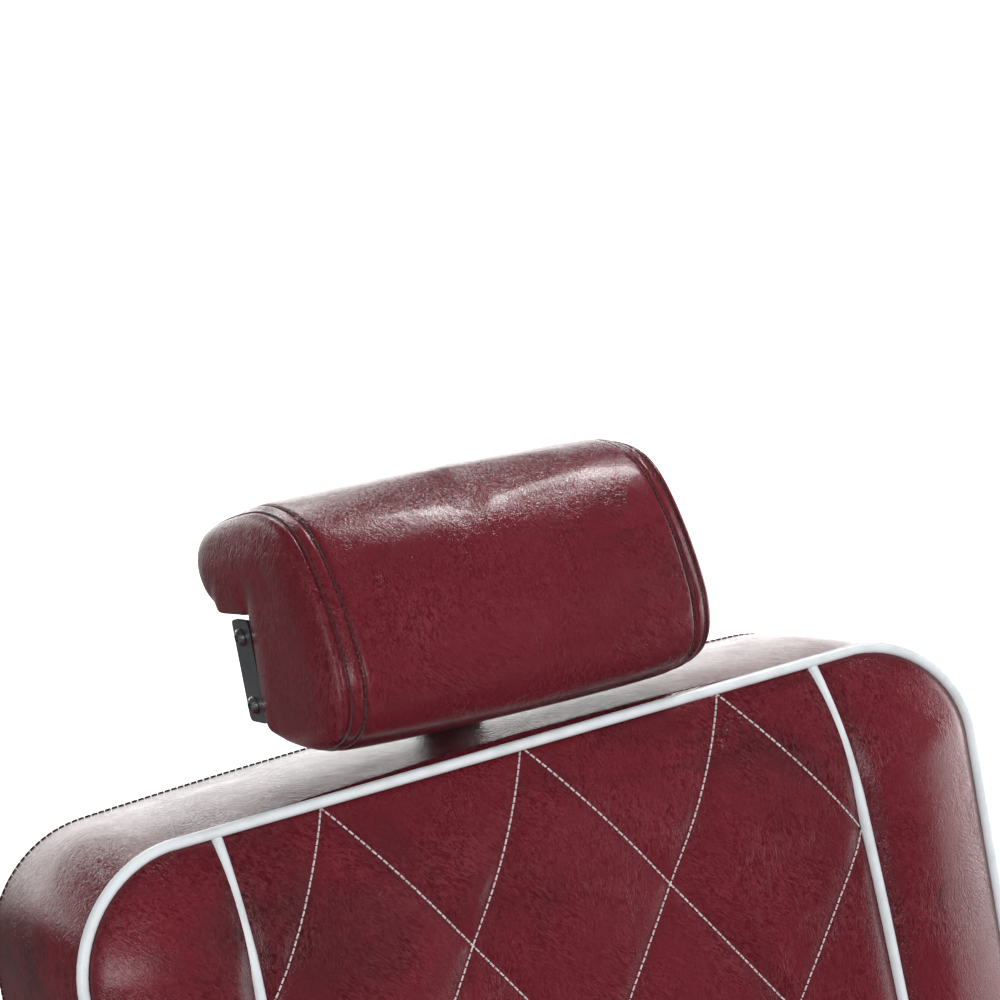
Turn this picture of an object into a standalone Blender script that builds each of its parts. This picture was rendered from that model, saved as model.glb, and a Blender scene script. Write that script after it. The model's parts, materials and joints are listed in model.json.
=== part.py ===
"""Hydraulic barber chair: pump base, swivelling seat, reclining back, headrest and leg rest.

Metres, +Z up. The sitter faces -Y. The origin lies on the floor, on the swivel axis.
"""

from math import cos, pi, radians, sin

import bmesh
import bpy
from mathutils import Vector

GAP = 0.0003  # left between pieces that touch

# Base and pump, heights from the floor
BASE_RADIUS = 0.322
BASE_THICKNESS = 0.012
BOSS_RADIUS = 0.056
BOSS_TOP = 0.045
COVER_HOLE = 0.0535
COVER_TOP = 0.0565
RING_WIDTH = 0.009
PUMP_RADIUS = 0.038
PUMP_FLOOR = 0.015
PUMP_TOP = 0.305
BORE_RADIUS = 0.0225
LOWER_SHROUD_RADIUS = 0.052
UPPER_SHROUD_RADIUS = 0.0575
SHROUD_WALL = 0.002
UPPER_SHROUD_BOTTOM = 0.130
RAM_RADIUS = 0.021
SHOULDER = 0.326
SPINDLE_RADIUS = 0.016
HUB_RADIUS = 0.034

# Pump pedal
PEDAL_Y = 0.066
PEDAL_Z = 0.092
PEDAL_SLOPE = radians(5)
PEDAL_REACH = 0.30
PEDAL_ROD = 0.007
BLOCK_TOP = 0.078
PLUNGER_Y = 0.100
PLUNGER_RADIUS = 0.005
PLUNGER_TOP = 0.0868

# Seat frame
PLATE_BOTTOM = 0.3663
PLATE_THICKNESS = 0.008
RAIL_X = 0.150
RAIL_WIDTH = 0.030
RAIL_HEIGHT = 0.040
RAIL_FRONT = -0.225
RAIL_REAR = 0.215
CROSSBAR_REACH = 0.334
CROSSBAR_THICKNESS = 0.008
BOARD_THICKNESS = 0.012
SEAT_TOP = 0.550
SEAT_HALF_WIDTH = 0.279
SEAT_FRONT = -0.255
SEAT_REAR = 0.205

# Arms
ARM_X = 0.318
ARM_TUBE = 0.0125
ARM_FRONT = -0.190
ARM_REAR = 0.160
ARM_HEIGHT = 0.700
PAD_HEIGHT = 0.048

# Release lever, on the right rail
LEVER_Y = 0.020
LEVER_Z = 0.398
LEVER_TIP = (-0.380, -0.105, 0.410)
LEVER_ROD = 0.005
KNOB_RADIUS = 0.016

# Recline linkage: back lever, leg rest lever and crank are equal and parallel
PIVOT_Y = 0.235
PIVOT_Z = 0.450
LEG_PIVOT_Y = -0.235
LEG_PIVOT_Z = 0.400
LEVER = 0.060
RECLINE_RANGE = radians(50)
LEVER_LEAN = RECLINE_RANGE / 2
SHAFT_RADIUS = 0.0125
PIN_RADIUS = 0.004
CYLINDER_X = 0.069
CYLINDER_RADIUS = 0.0125
ROD_RADIUS = 0.005

# Back, in its own frame: origin on the recline axis, Z up along the back, -Y forward
RECLINE = radians(21.5)
BACK_HALF_WIDTH = 0.279
BACK_BOTTOM = 0.095
BACK_TOP = 0.639
BACK_CORNER = 0.064
BACK_FRONT = -0.080
BACK_REAR = 0.070
BACK_BOARD_FRONT = -0.010
SHELL_WALL = 0.012

# Headrest, in the back's frame
POST_Y = 0.023
POST_WIDTH = 0.038
POST_THICKNESS = 0.010
TILT_Z = 0.705
KNOB_Z = 0.560
HEAD_HALF_LENGTH = 0.113

# A button-head screw's half section, as (radius, height): socket, crown and rim
BUTTON_HEAD = (
    (0.0, 0.0010),
    (0.0019, 0.0010),
    (0.0021, 0.0029),
    (0.0037, 0.0024),
    (0.0048, 0.0013),
    (0.0052, 0.0),
    (0.0, 0.0),
)

# End view of the pad, as (Y, Z) points round the bean: front, underside, waist, rear lobe, crown
HEAD_POINTS = (
    (-0.063, 0.790),
    (-0.073, 0.772),
    (-0.088, 0.748),
    (-0.102, 0.722),
    (-0.109, 0.698),
    (-0.104, 0.678),
    (-0.088, 0.664),
    (-0.060, 0.657),
    (-0.025, 0.658),
    (-0.004, 0.662),
    (0.000, 0.675),
    (0.000, 0.7258),
    (0.006, 0.7300),
    (0.036, 0.7295),
    (0.053, 0.738),
    (0.058, 0.752),
    (0.052, 0.767),
    (0.036, 0.778),
    (0.004, 0.787),
    (-0.030, 0.791),
)

# Leg rest, in its own frame: origin on its pivot, -Z down along the arms
LEG_LEAN = radians(15)
LEG_TUBE_Z = -0.245
LEG_TUBE_RADIUS = 0.011
LEG_ARM_X = 0.183
ARM_PLATE = 0.006


def clear_scene():
    for obj in list(bpy.data.objects):
        bpy.data.objects.remove(obj, do_unlink=True)


def make_collection(name):
    collection = bpy.data.collections.new(name)
    bpy.context.scene.collection.children.link(collection)
    return collection


def make_material(name, color, roughness, metallic):
    material = bpy.data.materials.new(name)
    material.use_nodes = True
    shader = material.node_tree.nodes["Principled BSDF"]
    shader.inputs["Base Color"].default_value = (*color, 1.0)
    shader.inputs["Roughness"].default_value = roughness
    shader.inputs["Metallic"].default_value = metallic
    return material


clear_scene()
PARTS = make_collection("barber_chair")
CUTTERS = make_collection("cutters")

FINISHES = {
    "leather": ((0.12, 0.008, 0.016), 0.30, 0.0),
    "chrome": ((0.80, 0.80, 0.82), 0.08, 1.0),
    "steel": ((0.45, 0.46, 0.48), 0.30, 1.0),
    "black_steel": ((0.02, 0.02, 0.022), 0.45, 0.6),
    "rubber": ((0.02, 0.02, 0.02), 0.80, 0.0),
    "plastic": ((0.015, 0.015, 0.016), 0.40, 0.0),
    "wood": ((0.45, 0.30, 0.16), 0.60, 0.0),
    "aluminium": ((0.60, 0.61, 0.63), 0.35, 1.0),
}


# ---------------------------------------------------------------- modelling helpers


def register(obj, finish, parent=None):
    """Place an object in the parts, with its own material, under its parent empty."""
    color, roughness, metallic = FINISHES[finish]
    material = make_material(obj.name + "_" + finish, color, roughness, metallic)
    obj.data.materials.clear()
    obj.data.materials.append(material)
    PARTS.objects.link(obj)
    obj.parent = parent
    return obj


def register_cutter(obj, parent=None):
    CUTTERS.objects.link(obj)
    obj.parent = parent
    obj.hide_render = True
    obj.display_type = "WIRE"
    return obj


def make_axis(name, location, rotation=(0, 0, 0), parent=None):
    empty = bpy.data.objects.new(name, None)
    empty.location = location
    empty.rotation_euler = rotation
    empty.parent = parent
    empty.empty_display_size = 0.03
    PARTS.objects.link(empty)
    return empty


def mesh_object(name, bm):
    mesh = bpy.data.meshes.new(name)
    bm.to_mesh(mesh)
    bm.free()
    mesh.shade_smooth()
    mesh.set_sharp_from_angle(angle=radians(35))
    return bpy.data.objects.new(name, mesh)


def box(name, low, high, bevel=0.0):
    """A box between two corners, with its origin at its centre."""
    bm = bmesh.new()
    bmesh.ops.create_cube(bm, size=1.0)
    size = Vector(high) - Vector(low)
    bmesh.ops.scale(bm, vec=size, verts=bm.verts)
    obj = mesh_object(name, bm)
    obj.location = (Vector(low) + Vector(high)) / 2
    if bevel:
        modifier = obj.modifiers.new("Bevel", "BEVEL")
        modifier.width = bevel
        modifier.segments = 2
    return obj


def rod(name, start, end, radius, sides=24):
    """A cylinder from one point to another."""
    start, end = Vector(start), Vector(end)
    bm = bmesh.new()
    bmesh.ops.create_cone(
        bm,
        cap_ends=True,
        segments=sides,
        radius1=radius,
        radius2=radius,
        depth=(end - start).length,
    )
    obj = mesh_object(name, bm)
    obj.location = (start + end) / 2
    obj.rotation_mode = "QUATERNION"
    obj.rotation_quaternion = (end - start).to_track_quat("Z", "Y")
    return obj


def ball(name, center, radius):
    bm = bmesh.new()
    bmesh.ops.create_uvsphere(bm, u_segments=16, v_segments=8, radius=radius)
    obj = mesh_object(name, bm)
    obj.location = center
    return obj


def turned(name, profile, steps=48, closed=True):
    """A profile of (radius, height) turned about Z; it runs down its outer side."""
    mesh = bpy.data.meshes.new(name)
    points = [(radius, 0.0, height) for radius, height in profile]
    count = len(points)
    edges = [(i, i + 1) for i in range(count - 1)]
    if closed:
        edges.append((count - 1, 0))
    mesh.from_pydata(points, edges, [])
    obj = bpy.data.objects.new(name, mesh)
    screw = obj.modifiers.new("Screw", "SCREW")
    screw.steps = steps
    screw.render_steps = steps
    screw.use_merge_vertices = True
    screw.merge_threshold = 0.00005
    screw.use_smooth_shade = True
    return obj


def ring(name, inner, outer, low, high, steps=48):
    profile = [(outer, high), (outer, low), (inner, low), (inner, high)]
    return turned(name, profile, steps)


def circle(center, radius, sides=20):
    turn = 2 * pi / sides
    return [
        (center[0] + radius * cos(turn * i), center[1] + radius * sin(turn * i)) for i in range(sides)
    ]


def arc(center, radius, start, end, steps):
    """Points on an arc, angles in degrees."""
    points = []
    for i in range(steps + 1):
        angle = radians(start + (end - start) * i / steps)
        points.append((center[0] + radius * cos(angle), center[1] + radius * sin(angle)))
    return points


def capsule(a, b, radius, steps=8):
    """Outline of a bar with round ends, from point a to point b."""
    a, b = Vector(a), Vector(b)
    heading = (b - a).normalized()
    angle = Vector((1, 0)).angle_signed(heading) if heading.length else 0.0
    degrees = -angle * 180 / pi
    return arc(b, radius, degrees - 90, degrees + 90, steps) + arc(
        a, radius, degrees + 90, degrees + 270, steps
    )


def rounded_rectangle(low, high, radius, steps=5):
    (x0, y0), (x1, y1) = low, high
    r = radius
    return (
        arc((x1 - r, y0 + r), r, -90, 0, steps)
        + arc((x1 - r, y1 - r), r, 0, 90, steps)
        + arc((x0 + r, y1 - r), r, 90, 180, steps)
        + arc((x0 + r, y0 + r), r, 180, 270, steps)
    )


TO_YZ = (pi / 2, 0, pi / 2)  # outline X, Y and thickness go to Y, Z and X
TO_XZ = (pi / 2, 0, 0)  # outline X, Y go to X, Z; thickness goes to -Y


def outline_slab(name, outlines, thickness, round_edge=0.0):
    """A flat outline, with holes, as a filled 2D curve of the given thickness."""
    curve = bpy.data.curves.new(name, "CURVE")
    curve.dimensions = "2D"
    curve.fill_mode = "BOTH"
    curve.extrude = thickness / 2 - round_edge
    curve.bevel_depth = round_edge
    curve.bevel_resolution = 1 if round_edge else 0
    curve.offset = -round_edge
    for points in outlines:
        spline = curve.splines.new("POLY")
        spline.points.add(len(points) - 1)
        for target, point in zip(spline.points, points):
            target.co = (point[0], point[1], 0.0, 1.0)
        spline.use_cyclic_u = True
    return bpy.data.objects.new(name, curve)


def to_mesh(obj):
    """Replace a curve object by a welded mesh object of the same name."""
    bpy.context.scene.collection.objects.link(obj)
    bpy.context.view_layer.update()
    evaluated = obj.evaluated_get(bpy.context.evaluated_depsgraph_get())
    mesh = bpy.data.meshes.new_from_object(evaluated)
    bm = bmesh.new()
    bm.from_mesh(mesh)
    bmesh.ops.remove_doubles(bm, verts=bm.verts, dist=0.00002)
    bmesh.ops.recalc_face_normals(bm, faces=bm.faces)
    bm.to_mesh(mesh)
    bm.free()
    name = obj.name
    matrix = obj.matrix_world.copy()
    bpy.data.objects.remove(obj, do_unlink=True)
    mesh.name = name
    mesh.set_sharp_from_angle(angle=radians(35))
    result = bpy.data.objects.new(name, mesh)
    result.matrix_world = matrix
    return result


def plate_yz(name, outlines, x_low, x_high, round_edge=0.0):
    """A plate whose outline lies in the YZ plane, between two X positions."""
    obj = outline_slab(name, outlines, x_high - x_low, round_edge)
    obj.rotation_euler = TO_YZ
    obj.location = ((x_low + x_high) / 2, 0, 0)
    return to_mesh(obj)


def plate_xz(name, outlines, y_low, y_high, round_edge=0.0):
    obj = outline_slab(name, outlines, y_high - y_low, round_edge)
    obj.rotation_euler = TO_XZ
    obj.location = (0, (y_low + y_high) / 2, 0)
    return to_mesh(obj)


def plate_xy(name, outlines, z_low, z_high, round_edge=0.0):
    obj = outline_slab(name, outlines, z_high - z_low, round_edge)
    obj.location = (0, 0, (z_low + z_high) / 2)
    return to_mesh(obj)


def hex_nut(name, bore, corner, z_low, z_high):
    return plate_xy(name, [circle((0, 0), corner, 6), circle((0, 0), bore * 1.01, 32)], z_low, z_high)


def bent_tube(name, points, radius, resolution=3):
    """A round bar along a polyline, as a welded mesh."""
    curve = bpy.data.curves.new(name, "CURVE")
    curve.dimensions = "3D"
    curve.bevel_depth = radius
    curve.bevel_resolution = resolution
    curve.use_fill_caps = True
    spline = curve.splines.new("POLY")
    spline.points.add(len(points) - 1)
    for target, point in zip(spline.points, points):
        target.co = (*point, 1.0)
    return to_mesh(bpy.data.objects.new(name, curve))


def combine(target, tool, operation):
    modifier = target.modifiers.new(operation.title(), "BOOLEAN")
    modifier.operation = operation
    modifier.solver = "EXACT"
    modifier.object = tool


def cut(target, tool, parent=None):
    register_cutter(tool, parent)
    combine(target, tool, "DIFFERENCE")


def add(target, tool, parent=None):
    register_cutter(tool, parent)
    combine(target, tool, "UNION")


# ---------------------------------------------------------------- base and pump


def cover_height(radius):
    """Height of the base cover's upper side: high at the column, flat at the rim."""
    rim = BASE_RADIUS - 0.001
    share = (rim - radius) / (rim - COVER_HOLE)
    rim_height = BASE_THICKNESS + 0.003
    return rim_height + (COVER_TOP - rim_height) * share**1.5


def build_base():
    plate = turned(
        "base_plate",
        [
            (0.0, PUMP_FLOOR),
            (PUMP_RADIUS + GAP, PUMP_FLOOR),
            (PUMP_RADIUS + GAP, BOSS_TOP),
            (BOSS_RADIUS - 0.002, BOSS_TOP),
            (BOSS_RADIUS, BASE_THICKNESS),
            (BASE_RADIUS, BASE_THICKNESS),
            (BASE_RADIUS, 0.0),
            (0.0, 0.0),
        ],
        closed=False,
    )
    register(plate, "black_steel")

    wall = 0.0018
    rim = BASE_RADIUS - 0.001
    radii = [rim - (rim - COVER_HOLE - 0.006) * i / 5 for i in range(6)]
    hole_radius = BOSS_RADIUS + 0.0003
    inner = [(radius, cover_height(radius) - wall) for radius in radii]
    outer = [(radius, cover_height(radius)) for radius in reversed(radii)]
    profile = [(hole_radius, COVER_TOP)] + outer + inner + [(hole_radius, COVER_TOP - wall)]
    register(turned("base_cover", profile, 40), "chrome")

    low = BASE_RADIUS + GAP
    high = BASE_RADIUS + RING_WIDTH
    profile = [(low, 0.016), (high - 0.004, 0.016), (high, 0.011), (high, 0.0), (low, 0.0)]
    register(turned("base_ring", profile), "rubber")


def build_pump():
    body = turned(
        "pump_body",
        [
            (0.0, 0.05),
            (BORE_RADIUS, 0.05),
            (BORE_RADIUS, PUMP_TOP),
            (PUMP_RADIUS, PUMP_TOP),
            (PUMP_RADIUS, PUMP_FLOOR + GAP),
            (0.0, PUMP_FLOOR + GAP),
        ],
        steps=32,
        closed=False,
    )
    register(body, "steel")
    half = 0.018
    add(body, box("pedal_block", (-half, 0.030, 0.058), (half, 0.116, BLOCK_TOP)))
    for side in (-1, 1):
        inner, outer = sorted((side * 0.0108, side * half))
        add(body, box("pedal_cheek", (inner, 0.052, 0.070), (outer, 0.080, 0.105)))
    cut(body, rod("axle_hole", (-0.03, PEDAL_Y, PEDAL_Z), (0.03, PEDAL_Y, PEDAL_Z), 0.0055, 16))
    cut(body, rod("plunger_bore", (0, PLUNGER_Y, 0.0605), (0, PLUNGER_Y, 0.10), PLUNGER_RADIUS + 0.0004, 16))

    radius = LOWER_SHROUD_RADIUS
    shroud = ring("lower_shroud", radius - SHROUD_WALL, radius, BOSS_TOP + GAP, 0.300, 40)
    register(shroud, "chrome")
    cut(shroud, box("pedal_window", (-0.0195, 0.02, 0.050), (0.0195, 0.09, 0.122)))

    nut = hex_nut("gland_nut", RAM_RADIUS + GAP, 0.036, PUMP_TOP + GAP, 0.3195)
    register(nut, "steel")
    seal = ring("wiper_seal", RAM_RADIUS + GAP, 0.028, 0.3195 + GAP, 0.325, 32)
    register(seal, "rubber")


def build_pedal():
    axis = make_axis("pedal_axis", (0, PEDAL_Y, PEDAL_Z), (PEDAL_SLOPE, 0, 0))
    arm = rod("pedal_arm", (0, 0, 0), (0, PEDAL_REACH, 0), PEDAL_ROD, 16)
    register(arm, "black_steel", axis)
    add(arm, rod("pedal_hub", (-0.0104, 0, 0), (0.0104, 0, 0), 0.0115, 20), axis)
    add(arm, rod("pedal_axle", (-0.0195, 0, 0), (0.0195, 0, 0), 0.0051, 16), axis)
    paddle_low = (-0.036, PEDAL_REACH - 0.022, -0.003)
    paddle_high = (0.036, PEDAL_REACH + 0.024, 0.0072)
    add(arm, box("paddle", paddle_low, paddle_high), axis)
    pad_low = (-0.042, PEDAL_REACH - 0.026, 0.0072 + GAP)
    pad_high = (0.042, PEDAL_REACH + 0.028, 0.0172)
    register(box("pedal_pad", pad_low, pad_high, 0.003), "rubber", axis)

    plunger = rod("pump_plunger", (0, PLUNGER_Y, 0.069), (0, PLUNGER_Y, PLUNGER_TOP), PLUNGER_RADIUS, 16)
    register(plunger, "steel")


def build_ram():
    piston = BORE_RADIUS - GAP
    profile = [
        (0.0, 0.384),
        (SPINDLE_RADIUS, 0.384),
        (SPINDLE_RADIUS, SHOULDER + 0.010),
        (0.030, SHOULDER + 0.010),
        (0.030, SHOULDER),
        (RAM_RADIUS, SHOULDER),
        (RAM_RADIUS, 0.135),
        (piston, 0.135),
        (piston, 0.120),
        (0.0, 0.120),
    ]
    register(turned("ram", profile, 32, closed=False), "chrome")
    low = SHOULDER + 0.010 + GAP
    register(ring("thrust_bearing", SPINDLE_RADIUS + GAP, 0.030, low, 0.3433, 32), "steel")
    low = PLATE_BOTTOM + PLATE_THICKNESS + GAP
    register(hex_nut("spindle_nut", SPINDLE_RADIUS + GAP, 0.026, low, low + 0.008), "steel")


# ---------------------------------------------------------------- seat


def mirrored_x(side, near, far):
    """Lower and upper X of a piece that spans near to far on one side."""
    return tuple(sorted((side * near, side * far)))


SIDES = (("left", 1), ("right", -1))


def build_seat_frame():
    hub = ring("swivel_hub", SPINDLE_RADIUS + GAP, HUB_RADIUS, 0.3436, PLATE_BOTTOM - GAP, 32)
    register(hub, "steel")

    radius = UPPER_SHROUD_RADIUS
    inner = radius - SHROUD_WALL
    top = PLATE_BOTTOM - GAP
    profile = [
        (radius, top),
        (radius, UPPER_SHROUD_BOTTOM),
        (inner, UPPER_SHROUD_BOTTOM),
        (inner, top - 0.003),
        (HUB_RADIUS + GAP, top - 0.003),
        (HUB_RADIUS + GAP, top),
    ]
    register(turned("upper_shroud", profile, 40), "chrome")

    half = RAIL_X + RAIL_WIDTH / 2
    plate_top = PLATE_BOTTOM + PLATE_THICKNESS
    outline = rounded_rectangle((-half, -0.130), (half, 0.130), 0.02, 3)
    hole = circle((0, 0), SPINDLE_RADIUS + GAP, 24)
    register(plate_xy("seat_mount_plate", [outline, hole], PLATE_BOTTOM, plate_top), "black_steel")

    rail_low = plate_top + GAP
    rail_high = rail_low + RAIL_HEIGHT
    wall = 0.003
    for name, side in SIDES:
        inner, outer = mirrored_x(side, RAIL_X - RAIL_WIDTH / 2, half)
        rail = box("rail_" + name, (inner, RAIL_FRONT, rail_low), (outer, RAIL_REAR, rail_high))
        register(rail, "black_steel")
        low = (inner + wall, RAIL_FRONT - 0.01, rail_low + wall)
        high = (outer - wall, RAIL_REAR + 0.01, rail_high - wall)
        cut(rail, box("rail_hollow", low, high))
        if name == "right":
            cut(rail, rod("lever_hole", (-0.20, LEVER_Y, LEVER_Z), (-0.12, LEVER_Y, LEVER_Z), 0.0056, 16))

    bar_low = rail_high + GAP
    bar_high = bar_low + CROSSBAR_THICKNESS
    for name, y in (("front_crossbar", ARM_FRONT), ("rear_crossbar", ARM_REAR)):
        low = (-CROSSBAR_REACH, y - 0.021, bar_low)
        high = (CROSSBAR_REACH, y + 0.021, bar_high)
        register(box(name, low, high, 0.001), "black_steel")

    board_low = bar_high + GAP
    board_high = board_low + BOARD_THICKNESS
    outline = rounded_rectangle((-0.268, SEAT_FRONT + 0.02), (0.268, SEAT_REAR - 0.015), 0.02, 3)
    register(plate_xy("seat_board", [outline], board_low, board_high), "wood")

    outline = rounded_rectangle((-SEAT_HALF_WIDTH, SEAT_FRONT), (SEAT_HALF_WIDTH, SEAT_REAR), 0.035)
    cushion = plate_xy("seat_cushion", [outline], board_high + GAP, SEAT_TOP, 0.018)
    register(cushion, "leather")
    return bar_high


def arm_path(side, foot):
    """Centre line of an arm frame: up at the front, back along the arm, down at the rear."""
    bend = 0.045
    front_bend = arc((ARM_FRONT + bend, ARM_HEIGHT - bend), bend, 180, 90, 5)
    rear_bend = arc((ARM_REAR - bend, ARM_HEIGHT - bend), bend, 90, 0, 5)
    outline = [(ARM_FRONT, foot)] + front_bend + rear_bend + [(ARM_REAR, foot)]
    return [(side * ARM_X, y, z) for y, z in outline]


def build_arms(foot):
    for name, side in SIDES:
        tube = bent_tube("arm_frame_" + name, arm_path(side, foot + GAP), ARM_TUBE, 2)
        register(tube, "chrome")

        inner, outer = mirrored_x(side, 0.288, 0.336)
        gap = ARM_TUBE + 0.003
        low = (ARM_FRONT + gap, foot + 0.004)
        high = (ARM_REAR - gap, ARM_HEIGHT - gap)
        outline = rounded_rectangle(low, high, 0.035, 4)
        panel = plate_yz("side_panel_" + name, [outline], inner, outer, 0.008)
        register(panel, "leather")

        inner, outer = mirrored_x(side, 0.285, 0.361)
        low = (inner, ARM_FRONT - 0.030)
        high = (outer, ARM_REAR + 0.030)
        pad_low = ARM_HEIGHT + ARM_TUBE + GAP
        outline = rounded_rectangle(low, high, 0.034, 5)
        pad = plate_xy("arm_pad_" + name, [outline], pad_low, pad_low + PAD_HEIGHT, 0.012)
        register(pad, "leather")


def build_release_lever():
    axis = make_axis("lever_axis", (0, LEVER_Y, LEVER_Z))
    tip = Vector(LEVER_TIP) - Vector((0, LEVER_Y, LEVER_Z))
    elbow_x = -0.352
    path = [(-0.128, 0, 0), (elbow_x, 0, 0), (-0.366, -0.008, 0.0006), (-0.374, -0.024, 0.0022), tip]
    register(bent_tube("release_lever", path, LEVER_ROD, 2), "chrome", axis)
    knob = ball("lever_knob", tip, KNOB_RADIUS)
    register(knob, "plastic", axis)
    direction = (tip - Vector(path[3])).normalized()
    start = tip - direction * 0.03
    cut(knob, rod("knob_socket", start, tip + direction * GAP, LEVER_ROD + GAP, 16), axis)


def lever_pin(pivot_y, pivot_z):
    """Place of a lever's pin at rest: the lever hangs down, leaning back."""
    return (pivot_y + LEVER * sin(LEVER_LEAN), pivot_z - LEVER * cos(LEVER_LEAN))


def build_brackets():
    inner = RAIL_X + RAIL_WIDTH / 2 + GAP
    outer = inner + 0.006
    rail_middle = PLATE_BOTTOM + PLATE_THICKNESS + RAIL_HEIGHT / 2
    for name, side in SIDES:
        x_low, x_high = mirrored_x(side, inner, outer)
        outline = capsule((RAIL_REAR - 0.010, rail_middle), (PIVOT_Y, PIVOT_Z), 0.0165)
        hole = circle((PIVOT_Y, PIVOT_Z), SHAFT_RADIUS + GAP, 24)
        bracket = plate_yz("hinge_bracket_" + name, [outline, hole], x_low, x_high)
        register(bracket, "black_steel")

        outline = capsule((RAIL_FRONT + 0.06, rail_middle), (LEG_PIVOT_Y, LEG_PIVOT_Z), 0.013)
        hole = circle((LEG_PIVOT_Y, LEG_PIVOT_Z), 0.006 + GAP)
        bracket = plate_yz("leg_bracket_" + name, [outline, hole], x_low, x_high)
        register(bracket, "black_steel")


def build_recline_cylinder():
    pin_y, pin_z = lever_pin(PIVOT_Y, PIVOT_Z)
    axis_z = PIVOT_Z - LEVER * (1 + cos(LEVER_LEAN)) / 2
    x = CYLINDER_X

    cylinder = rod("recline_cylinder", (x, -0.175, axis_z), (x, 0.075, axis_z), CYLINDER_RADIUS)
    register(cylinder, "black_steel")
    lug_top = PLATE_BOTTOM + PLATE_THICKNESS + GAP + RAIL_HEIGHT
    add(cylinder, box("cylinder_lug", (x - 0.009, -0.205, axis_z - 0.009), (x + 0.009, -0.170, lug_top)))
    bore = ROD_RADIUS + GAP
    cut(cylinder, rod("cylinder_bore", (x, -0.08, axis_z), (x, 0.09, axis_z), bore, 16))

    piston_rod = rod("recline_rod", (x, -0.025, axis_z), (x, pin_y - 0.012, axis_z), ROD_RADIUS, 16)
    register(piston_rod, "chrome")
    slot = LEVER * (1 - cos(LEVER_LEAN)) / 2 + 0.0002
    outline = capsule((pin_y, axis_z - slot), (pin_y, axis_z + slot), 0.0125, 6)
    opening = capsule((pin_y, axis_z - slot), (pin_y, axis_z + slot), PIN_RADIUS + 0.0008, 6)
    eye = plate_yz("rod_eye", [outline, opening], x - 0.0025, x + 0.0025)
    add(piston_rod, eye)


# ---------------------------------------------------------------- back


def local_lever_pin(lean):
    """Lever pin in a frame that is itself turned back by lean."""
    angle = LEVER_LEAN + lean
    return (LEVER * sin(angle), -LEVER * cos(angle))


def back_outline(inset=0.0):
    """Front view of the back: round shoulders and smaller round lower corners."""
    half = BACK_HALF_WIDTH - inset
    top = BACK_TOP - inset
    bottom = BACK_BOTTOM + inset
    shoulder = BACK_CORNER - inset
    foot = 0.035 - inset
    return (
        arc((half - foot, bottom + foot), foot, -90, 0, 4)
        + arc((half - shoulder, top - shoulder), shoulder, 0, 90, 6)
        + arc((shoulder - half, top - shoulder), shoulder, 90, 180, 6)
        + arc((foot - half, bottom + foot), foot, 180, 270, 4)
    )


def build_back():
    axis = make_axis("recline_axis", (0, PIVOT_Y, PIVOT_Z), (-RECLINE, 0, 0))
    shaft = ring("hinge_shaft", SHAFT_RADIUS - 0.003, SHAFT_RADIUS, -0.190, 0.190, 24)
    shaft.rotation_euler = (0, pi / 2, 0)
    register(shaft, "steel", axis)

    pin = local_lever_pin(RECLINE)
    half_plate = ARM_PLATE / 2
    for name, side in SIDES:
        x_low, x_high = mirrored_x(side, LEG_ARM_X - half_plate, LEG_ARM_X + half_plate)
        upright = capsule((0.0205, 0.085), (0.0205, 0.30), 0.0175)
        arm = plate_yz("back_arm_" + name, [upright], x_low, x_high)
        register(arm, "black_steel", axis)
        neck = capsule((0, 0), (0.0205, 0.088), 0.0168)
        add(arm, plate_yz("back_neck", [neck], x_low - 0.0002, x_high + 0.0002), axis)
        lever = capsule((0, 0), pin, 0.011)
        add(arm, plate_yz("back_lever", [lever], x_low - 0.0004, x_high + 0.0004), axis)
        if name == "left":
            start = (LEG_ARM_X - half_plate - 0.0075, *pin)
            add(arm, rod("back_link_pin", start, (LEG_ARM_X, *pin), PIN_RADIUS, 16), axis)
        cut(arm, rod("shaft_hole", (side * 0.17, 0, 0), (side * 0.20, 0, 0), SHAFT_RADIUS + GAP), axis)

    x = CYLINDER_X + 0.0031
    outlines = [crank_outline(pin), circle((0, 0), SHAFT_RADIUS + GAP, 24)]
    crank = plate_yz("recline_crank", outlines, x, x + 0.006)
    register(crank, "steel", axis)
    add(crank, rod("crank_pin", (CYLINDER_X - 0.004, *pin), (x + 0.003, *pin), PIN_RADIUS, 16), axis)

    front, rear = BACK_BOARD_FRONT, BACK_BOARD_FRONT + 0.012
    cushion = plate_xz("back_cushion", [back_outline()], BACK_FRONT, front - GAP, 0.016)
    register(cushion, "leather", axis)
    register(plate_xz("back_board", [back_outline(0.006)], front, rear), "wood", axis)
    build_back_shell(axis, rear + GAP)
    build_socket(axis)
    return axis


def crank_outline(pin):
    """A round hub on the shaft that narrows to the pin."""
    reach = Vector(pin).length
    heading = Vector(pin).normalized()
    degrees = Vector((1, 0)).angle_signed(heading) * -180 / pi
    hub = arc((0, 0), 0.019, degrees + 60, degrees + 300, 12)
    tip = arc(heading * reach, 0.009, degrees - 75, degrees + 75, 6)
    return hub + tip


def build_back_shell(axis, front):
    shell = plate_xz("back_shell", [back_outline()], front, BACK_REAR, 0.008)
    register(shell, "leather", axis)
    pocket = plate_xz("shell_pocket", [back_outline(SHELL_WALL)], front - 0.02, BACK_REAR - 0.008)
    cut(shell, pocket, axis)
    for side in (-1, 1):
        x_low, x_high = mirrored_x(side, LEG_ARM_X - 0.005, LEG_ARM_X + 0.005)
        cut(shell, box("arm_slot", (x_low, front - 0.01, 0.08), (x_high, 0.040, 0.12)), axis)
    half_x = POST_WIDTH / 2 + 0.001
    low = (-half_x, POST_Y - 0.0065, 0.60)
    high = (half_x, POST_Y + 0.0065, 0.66)
    cut(shell, box("post_hole", low, high), axis)
    cut(shell, rod("knob_hole", (0, 0.05, KNOB_Z), (0, 0.09, KNOB_Z), 0.0056, 16), axis)


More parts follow.
